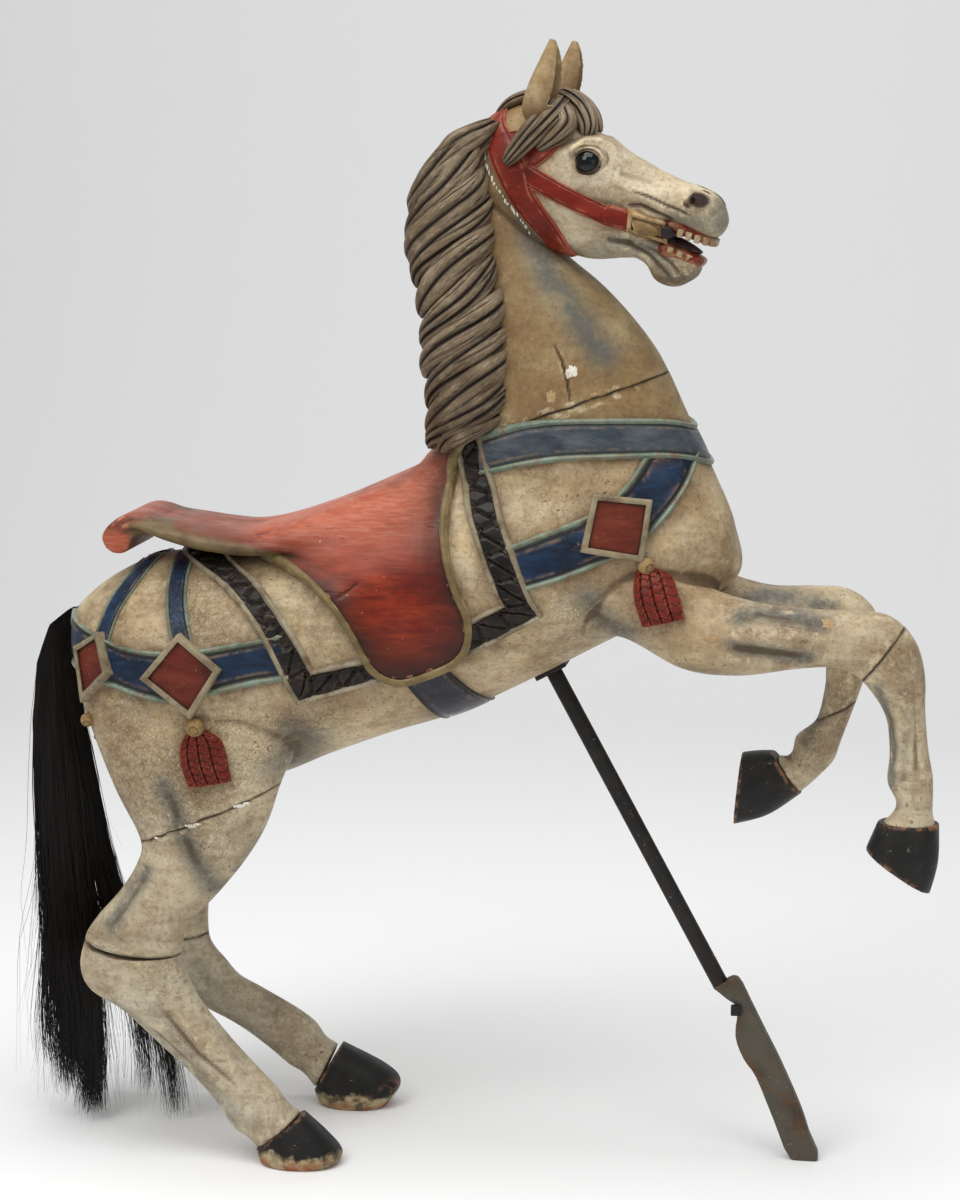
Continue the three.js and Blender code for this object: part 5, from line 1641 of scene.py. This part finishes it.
def horse_paint():
    p = Paint("aged_cream_paint", tone(192, 181, 156))
    warm = p.mark("warm")
    p.coat(tone(204, 182, 142), p.span(warm, 0.0, 0.5))
    p.coat(tone(146, 123, 84), p.span(warm, 0.5, 1.0))
    p.coat(p.mix(warm, tone(168, 150, 120), tone(130, 103, 66)), patches(p, 9, 0.42, 0.66))
    p.coat(p.mix(warm, tone(214, 206, 184), tone(186, 166, 126)), patches(p, 20, 0.44, 0.70, 9), 0.75)
    streak = patches(p, 26, 0.46, 0.74, 9, (0.45, 1.0, 2.6))
    p.coat(tone(120, 92, 60), streak, 0.55)
    p.coat(tone(112, 84, 54), patches(p, 13, 0.53, 0.74, 9, (1.5, 1.0, 0.8)), 0.62)
    stain = p.math("MULTIPLY", p.mark("stain"), patches(p, 28, 0.30, 0.66, 9))
    p.coat(tone(126, 94, 58), stain, 0.72)
    blue = p.math("MULTIPLY", p.mark("blue"), patches(p, 34, 0.10, 0.50, 6))
    p.coat(tone(82, 88, 86), blue, 0.88)
    # painted shade, with some grime, along the edges of the harness
    p.coat(tone(96, 70, 42), p.mark("close"), patches(p, 24, 0.30, 0.62, 6))
    grain = p.noise(150, 10, 0.75, None, 0.4)
    p.coat(tone(100, 76, 48), p.span(grain, 0.30, 0.49, 0.66, 0.0))
    p.coat(tone(222, 210, 184), p.span(grain, 0.52, 0.70), p.span(warm, 0.4, 1.0, 0.45, 0.12))
    hollow = p.span(p.mark("hollow"), 0.10, 0.75)
    p.coat(tone(74, 56, 38), hollow, 0.75)
    ridge = p.span(p.mark("ridge"), 0.5, 1.0)
    p.coat(tone(206, 190, 156), ridge, patches(p, 60, 0.50, 0.66))
    specks = patches(p, 150, 0.58, 0.68, 5)
    p.coat(tone(92, 64, 40), specks, patches(p, 7, 0.42, 0.60))
    vein = p.math("ABSOLUTE", p.math("SUBTRACT", p.noise(24, 9, 0.62, None, 0.5), 0.5), 0.0)
    vein = p.math("MULTIPLY", p.span(vein, 0.0, 0.010, 1.0, 0.0), patches(p, 6, 0.47, 0.60, 4))
    p.coat(tone(84, 58, 36), vein, 0.60)
    small = p.math("ABSOLUTE", p.math("SUBTRACT", p.noise(70, 8, 0.65, None, 0.4), 0.5), 0.0)
    small = p.math("MULTIPLY", p.span(small, 0.0, 0.016, 1.0, 0.0), patches(p, 9, 0.45, 0.60, 4))
    p.coat(tone(96, 70, 44), small, 0.50)
    cracks = crackle(p, 95, 0.022, 0.52, 0.66)
    fine = crackle(p, 230, 0.07, 0.46, 0.62)
    p.coat(tone(84, 60, 38), cracks, 0.45)
    p.coat(tone(100, 74, 46), fine, 0.50)
    chips = p.span(p.noise(70, 9, 0.7, None, 0.6), 0.700, 0.715)
    p.coat(tone(150, 108, 72), chips)
    seam = p.math("MULTIPLY", p.span(p.mark("seam"), 0.15, 0.85), patches(p, 60, 0.28, 0.58, 7))
    p.coat(tone(48, 34, 24), seam, 0.85)
    p.coat(tone(40, 21, 17), p.mark("pit"))
    p.rough = p.span(p.noise(22, 6), 0.3, 0.75, 0.42, 0.68)
    p.raised(p.noise(60, 8, 0.65), 0.7)
    p.raised(p.math("MAXIMUM", cracks, p.math("MULTIPLY", fine, 0.5)), -0.7)
    p.raised(chips, -0.8)
    return p.done(0.0008)


def painted(name, bed, light, dark, rim=None, rim_dark=None, rough=(0.35, 0.6), scuff=tone(150, 110, 80),
            edge=0.8):
    """Aged paint with an optional second colour on the raised borders."""
    p = Paint(name, bed)
    p.coat(light, patches(p, 30, 0.42, 0.68, 8, (0.6, 1, 2.2)), 0.8)
    p.coat(dark, patches(p, 13, 0.50, 0.74, 7), 0.75)
    if rim:
        band = p.span(p.mark("rim"), 0.35, 0.65)
        trim = p.mix(patches(p, 22, 0.42, 0.66, 7), rim, rim_dark)
        trim = p.mix(p.math("MULTIPLY", patches(p, 80, 0.52, 0.66, 5), 0.8), trim, tone(112, 88, 60))
        p.coat(trim, band)
    p.coat(tone(34, 26, 20), p.span(p.mark("hollow"), 0.12, 0.7), 0.8)
    ridge = p.math("MULTIPLY", p.span(p.mark("ridge"), 0.30, 0.9), patches(p, 55, 0.44, 0.60, 6))
    p.coat(scuff, ridge, edge)
    scratch = patches(p, 90, 0.66, 0.70, 6, (0.5, 1, 2.4), 1.2)
    p.coat(scuff, scratch, 0.8)
    fine = crackle(p, 160, 0.05, 0.45, 0.62)
    p.coat(tone(30, 24, 20), fine, 0.5)
    p.rough = p.span(p.noise(30, 5), 0.3, 0.7, *rough)
    p.raised(p.noise(70, 7, 0.6), 0.8)
    p.raised(fine, -0.5)
    return p.done(0.0007)


def saddle_paint():
    p = Paint("saddle_red_paint", tone(184, 102, 76))
    p.coat(tone(158, 74, 52), patches(p, 24, 0.36, 0.64, 12, (0.4, 1, 2.4)), 0.75)
    p.coat(tone(200, 140, 116), patches(p, 110, 0.46, 0.66, 8, (0.3, 1, 2.8)), 0.5)
    p.coat(tone(104, 66, 52), patches(p, 9, 0.52, 0.70, 9), 0.65)
    deep = p.mark("deep")
    red = p.mix(patches(p, 11, 0.38, 0.66, 12, (0.7, 1, 1.4)), tone(120, 32, 17), tone(170, 68, 34))
    red = p.mix(p.math("MULTIPLY", patches(p, 60, 0.42, 0.66, 9, (0.4, 1, 2.2)), 0.7), red, tone(84, 24, 15))
    p.coat(red, p.span(p.math("ADD", deep, p.math("MULTIPLY", p.noise(14, 6), 0.35)), 0.25, 1.0))
    # painted shadow on the lowest part of the flap
    p.coat(tone(62, 18, 11), p.mark("foot"), 0.72)
    p.coat(tone(40, 25, 20), p.mark("shadow"), p.span(p.noise(24, 7), 0.25, 0.6, 0.65, 1.0))
    p.coat(tone(50, 30, 22), p.span(p.mark("hollow"), 0.15, 0.8), 0.75)
    p.coat(tone(186, 128, 98), p.span(p.mark("ridge"), 0.6, 1.0), patches(p, 60, 0.56, 0.66))
    p.coat(p.mix(patches(p, 30, 0.4, 0.65), tone(112, 96, 66), tone(76, 62, 44)), p.mark("olive"), 0.97)
    scratch = patches(p, 60, 0.68, 0.71, 7, (0.25, 1, 4.0), 1.6)
    p.coat(tone(44, 26, 20), scratch, 0.8)
    chips = p.span(p.noise(120, 6, 0.7), 0.69, 0.70)
    p.coat(tone(218, 196, 170), chips, 0.8)
    p.rough = p.span(p.noise(30, 5), 0.3, 0.7, 0.30, 0.55)
    p.raised(p.noise(40, 8, 0.6, (0.3, 1, 3)), 0.9)
    p.raised(scratch, -0.6)
    return p.done(0.0007)


def hoof_paint():
    p = Paint("hoof_black_paint", tone(28, 27, 26))
    p.coat(tone(46, 43, 39), patches(p, 30, 0.45, 0.7, 7), 0.7)
    height = p.node("SeparateXYZ", {"Vector": p.place}, 2)
    low = p.math("ADD", p.span(height, 0.003, 0.052, 0.50, 0.0), p.math("MULTIPLY", p.noise(34, 8, 0.7), 0.5))
    sole = p.span(low, 0.56, 0.62)
    p.coat(p.mix(patches(p, 50, 0.45, 0.6), tone(176, 160, 124), tone(96, 84, 62)), sole,
           p.span(height, 0.05, 0.10, 1, 0))
    rust = p.math("MULTIPLY", p.span(height, 0.004, 0.016, 1.0, 0.0), patches(p, 40, 0.44, 0.56))
    p.coat(tone(150, 78, 38), rust, 0.9)
    wear = p.math("MULTIPLY", p.span(p.mark("ridge"), 0.25, 0.75), patches(p, 80, 0.46, 0.60))
    p.coat(tone(146, 104, 74), wear, 0.8)
    chips = p.span(p.noise(110, 7, 0.7), 0.66, 0.68)
    p.coat(tone(150, 134, 110), chips, 0.7)
    p.rough = p.span(p.noise(40, 6), 0.3, 0.7, 0.34, 0.6)
    p.raised(p.noise(60, 8, 0.65), 0.9)
    p.raised(sole, -0.4)
    return p.done(0.0008)


def hair_paint():
    p = Paint("carved_hair_paint", tone(124, 107, 83))
    lie = p.node("CombineXYZ", {"X": p.math("MULTIPLY", p.mark("around"), 3.2), "Y": p.mark("along")})
    grain = p.node("TexNoise", {"Vector": lie, "Scale": 3.0, "Detail": 7.0, "Roughness": 0.62})
    fine = p.node("TexNoise", {"Vector": lie, "Scale": 9.0, "Detail": 5.0, "Roughness": 0.6})
    p.coat(tone(88, 70, 53), p.span(grain, 0.42, 0.64))
    p.coat(tone(178, 162, 136), p.span(fine, 0.50, 0.66), 0.80)
    p.coat(tone(82, 62, 43), patches(p, 7, 0.46, 0.62, 8), 0.8)
    p.coat(tone(170, 152, 126), patches(p, 14, 0.55, 0.70, 8), 0.7)
    groove = p.span(p.mark("groove"), 0.05, 0.70)
    p.coat(tone(32, 25, 20), groove, 0.95)
    p.coat(tone(40, 31, 25), p.span(p.mark("hollow"), 0.1, 0.6), 0.7)
    rub = p.math("MULTIPLY", patches(p, 9, 0.68, 0.71, 8), p.span(groove, 0.1, 0.4, 1.0, 0.0))
    p.coat(tone(160, 84, 50), rub, 0.85)
    p.rough = p.span(p.noise(40, 6), 0.3, 0.7, 0.40, 0.62)
    p.raised(fine, 0.8)
    p.raised(p.noise(90, 6, 0.6), 0.4)
    return p.done(0.0010)


def iron_look(name, base, rust, amount, rough):
    p = Paint(name, base, metallic=0.55)
    p.coat(rust, patches(p, 40, 0.62 - amount, 0.74 - amount * 0.4, 8), 0.85)
    p.coat(tone(30, 28, 26), patches(p, 16, 0.5, 0.7, 7), 0.5)
    scratch = patches(p, 120, 0.64, 0.70, 6)
    p.coat(tone(150, 138, 120), scratch, 0.6)
    p.rough = p.span(p.noise(50, 6), 0.3, 0.7, *rough)
    p.raised(p.noise(90, 8, 0.7))
    return p.done(0.0008)


def glass_look():
    p = Paint("eye_glass", tone(5, 6, 9), 0.05)
    p.shader.inputs["IOR"].default_value = 1.5
    p.shader.inputs["Coat Weight"].default_value = 0.25
    p.shader.inputs["Coat Roughness"].default_value = 0.03
    fleck = p.span(p.noise(120, 3), 0.52, 0.75, 0, 0.6)
    p.coat(tone(16, 22, 34), fleck)
    return p.done()


def horsehair_look():
    p = Paint("horsehair", tone(13, 11, 10), 0.4)
    p.coat(tone(32, 23, 18), patches(p, 60, 0.45, 0.75, 3, (3, 3, 0.1)))
    p.rough = p.span(p.noise(60, 3), 0.3, 0.7, 0.32, 0.5)
    return p.done()


cream = horse_paint()
navy = painted("strap_blue_paint", tone(20, 32, 50), tone(34, 58, 86), tone(15, 18, 24), tone(122, 142, 126),
               tone(82, 92, 78), (0.28, 0.5), tone(140, 112, 84), 0.5)
slate = painted("collar_slate_paint", tone(58, 66, 74), tone(92, 98, 102), tone(28, 31, 36),
                tone(124, 140, 124),
                tone(88, 98, 86), (0.22, 0.42), tone(140, 112, 84), 0.5)
cloth = painted("blanket_black_paint", tone(24, 21, 18), tone(42, 37, 31), tone(12, 11, 10),
                tone(156, 146, 122),
                tone(100, 86, 66), (0.26, 0.46), tone(120, 92, 70), 0.22)
ochre = painted("flap_edge_ochre", tone(108, 92, 58), tone(136, 118, 78), tone(66, 54, 36),
                rough=(0.35, 0.55),
                scuff=tone(160, 142, 108))
plate_paint = painted("plate_paint", tone(88, 31, 20), tone(116, 52, 35), tone(46, 20, 14),
                      tone(146, 134, 108),
                      tone(88, 76, 58), (0.3, 0.5), tone(150, 134, 106), 0.6)
gilt = painted("worn_gilt", tone(140, 112, 70), tone(166, 138, 92), tone(82, 62, 38), rough=(0.3, 0.5),
               scuff=tone(190, 160, 118))
tassel_red = painted("tassel_red_paint", tone(102, 28, 16), tone(128, 46, 29), tone(46, 14, 9),
                     rough=(0.3, 0.5),
                     scuff=tone(160, 84, 62), edge=0.5)
leather = painted("bridle_red_paint", tone(104, 24, 11), tone(128, 40, 21), tone(52, 16, 10),
                  tone(140, 56, 36),
                  tone(140, 54, 40), (0.3, 0.5), tone(170, 110, 84), 0.5)
gum_red = painted("gum_red_paint", tone(106, 26, 16), tone(128, 42, 27), tone(44, 13, 9), rough=(0.25, 0.45))
ivory = painted("tooth_paint", tone(176, 158, 124), tone(196, 180, 148), tone(110, 88, 58),
                rough=(0.3, 0.5), scuff=tone(160, 120, 90))
dark = painted("mouth_dark_paint", tone(36, 28, 30), tone(56, 46, 48), tone(20, 16, 16), rough=(0.3, 0.5),
               scuff=tone(90, 70, 60))
plaster = painted("white_filler", tone(222, 214, 196), tone(236, 230, 216), tone(176, 160, 134),
                  rough=(0.6, 0.8), scuff=tone(190, 176, 150))
wood = painted("bare_plug_wood", tone(170, 140, 100), tone(190, 164, 124), tone(104, 78, 50),
               rough=(0.5, 0.7))
girth_paint = painted("girth_dark_paint", tone(40, 38, 45), tone(58, 56, 66), tone(22, 21, 26),
                      rough=(0.22, 0.42),
                      scuff=tone(120, 100, 80), edge=0.5)
black_iron = iron_look("pole_iron", tone(46, 44, 42), tone(66, 52, 42), 0.08, (0.42, 0.62))
rusty_iron = iron_look("rusty_iron", tone(92, 87, 76), tone(116, 78, 50), 0.12, (0.5, 0.75))
glass, horsehair = glass_look(), horsehair_look()

carved = [whole, hind_near, hind_far, fore_near, fore_far, shank_near, shank_far, neck, *ears, *lids, *flares]
for piece in straps + blankets + rolls + plates + knobs + tassels + mane + forelock + buckles + bit_cheeks:
    weather(piece, 1, 6, 1.6)
collars = [p for p in straps if p.name.startswith("collar")]
girths = [p for p in straps if p.name.startswith("girth")]
wooden = [
    (carved, cream), ([p for p in straps if p not in collars + girths], navy), (collars, slate),
    (girths, girth_paint), (blankets, cloth), ([saddle], saddle_paint()), (rolls, ochre),
    (plates, plate_paint),
    (knobs + buckles + bit_cheeks, gilt), (tassels, tassel_red), (hooves, hoof_paint()),
    (mane + forelock, hair_paint()), (bridle, leather), (gums, gum_red), (teeth, ivory),
    ([tongue, roller], dark),
    (fillers, plaster), (plugs, wood),
]
looks = [(*row, "painted_wood") for row in wooden] + [
    (eyes, glass, "eye_glass"), ([tail_core, *tail_hair], horsehair, "horsehair"),
    ([pole, bolt, belly_plate], black_iron, "iron"), ([lever], rusty_iron, "rusty_iron"),
]
for pieces, material, slot in looks:
    for piece in pieces:
        piece.data.materials.clear()
        piece.data.materials.append(material)
        smooth_faces(piece)
        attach(piece, "root")
for piece, node in ((whole, "body"), (hind_near, "hind_thigh_right"), (hind_far, "hind_thigh_left"),
                    (shank_near, "hind_shank_right"), (shank_far, "hind_shank_left"),
                    (fore_near, "fore_shank_right"), (fore_far, "fore_shank_left"), (neck, "head_and_neck"),
                    (eyes[0], "eye_right"), (eyes[1], "eye_left"), (tail_core, "tail"), (pole, "pole"),
                    (lever, "pole_foot"), (bolt, "foot_bolt"), (belly_plate, "belly_plate")):
    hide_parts(node)

# ------------------------------------------------------------------ studio
paper = bpy.data.materials.new("studio_paper")
paper.use_nodes = True
for socket, value in (("Base Color", (0.93, 0.93, 0.93, 1)), ("Roughness", 0.9), ("Specular IOR Level", 0.1)):
    paper.node_tree.nodes["Principled BSDF"].inputs[socket].default_value = value
FLOOR_WIDE, FLOOR_RUN, FLOOR_FRONT, BEND_START, BEND_RADIUS = 16, 13, -5, 2.6, 1.6
sweep = primitive("studio_sweep", "grid", x_subdivisions=2, y_subdivisions=120, size=1)
corners = get(sweep) * MM
run = (corners[:, 1] + 0.5) * FLOOR_RUN + FLOOR_FRONT
bend = np.clip((run - BEND_START) / BEND_RADIUS, 0, math.pi / 2)
past = np.clip(run - BEND_START - BEND_RADIUS * math.pi / 2, 0, None)
put(sweep, np.stack([corners[:, 0] * FLOOR_WIDE, np.minimum(run, BEND_START) + BEND_RADIUS * np.sin(bend),
                     BEND_RADIUS * (1 - np.cos(bend)) + past], -1) / MM)
sweep.data.materials.append(paper)
smooth_faces(sweep)
bpy.context.scene.view_settings.view_transform = "Standard"
world = bpy.data.worlds.new("studio")
world.use_nodes = True
world.node_tree.nodes["Background"].inputs["Color"].default_value = (0.98, 0.99, 1, 1)
world.node_tree.nodes["Background"].inputs["Strength"].default_value = 0.40
bpy.context.scene.world = world
for name, place, aim, energy, size in (
        ("key", (-1.6, -2.3, 3.2), (0, 0, 0.75), 50, 1.8), ("fill", (2.6, -2.8, 1.6), (0, 0, 0.8), 10, 2.0),
        ("top", (0.1, -0.7, 3.5), (0.1, -0.4, 0), 78, 2.6),
        ("wall_wash", (0, 1.2, 3.6), (0, 4.2, 1.2), 9, 3.0)):
    bpy.ops.object.light_add(type="AREA", location=place)
    light = bpy.context.object
    light.name = name
    light.data.energy, light.data.size = energy, size
    light.rotation_euler = (Vector(aim) - light.location).to_track_quat("-Z", "Y").to_euler()
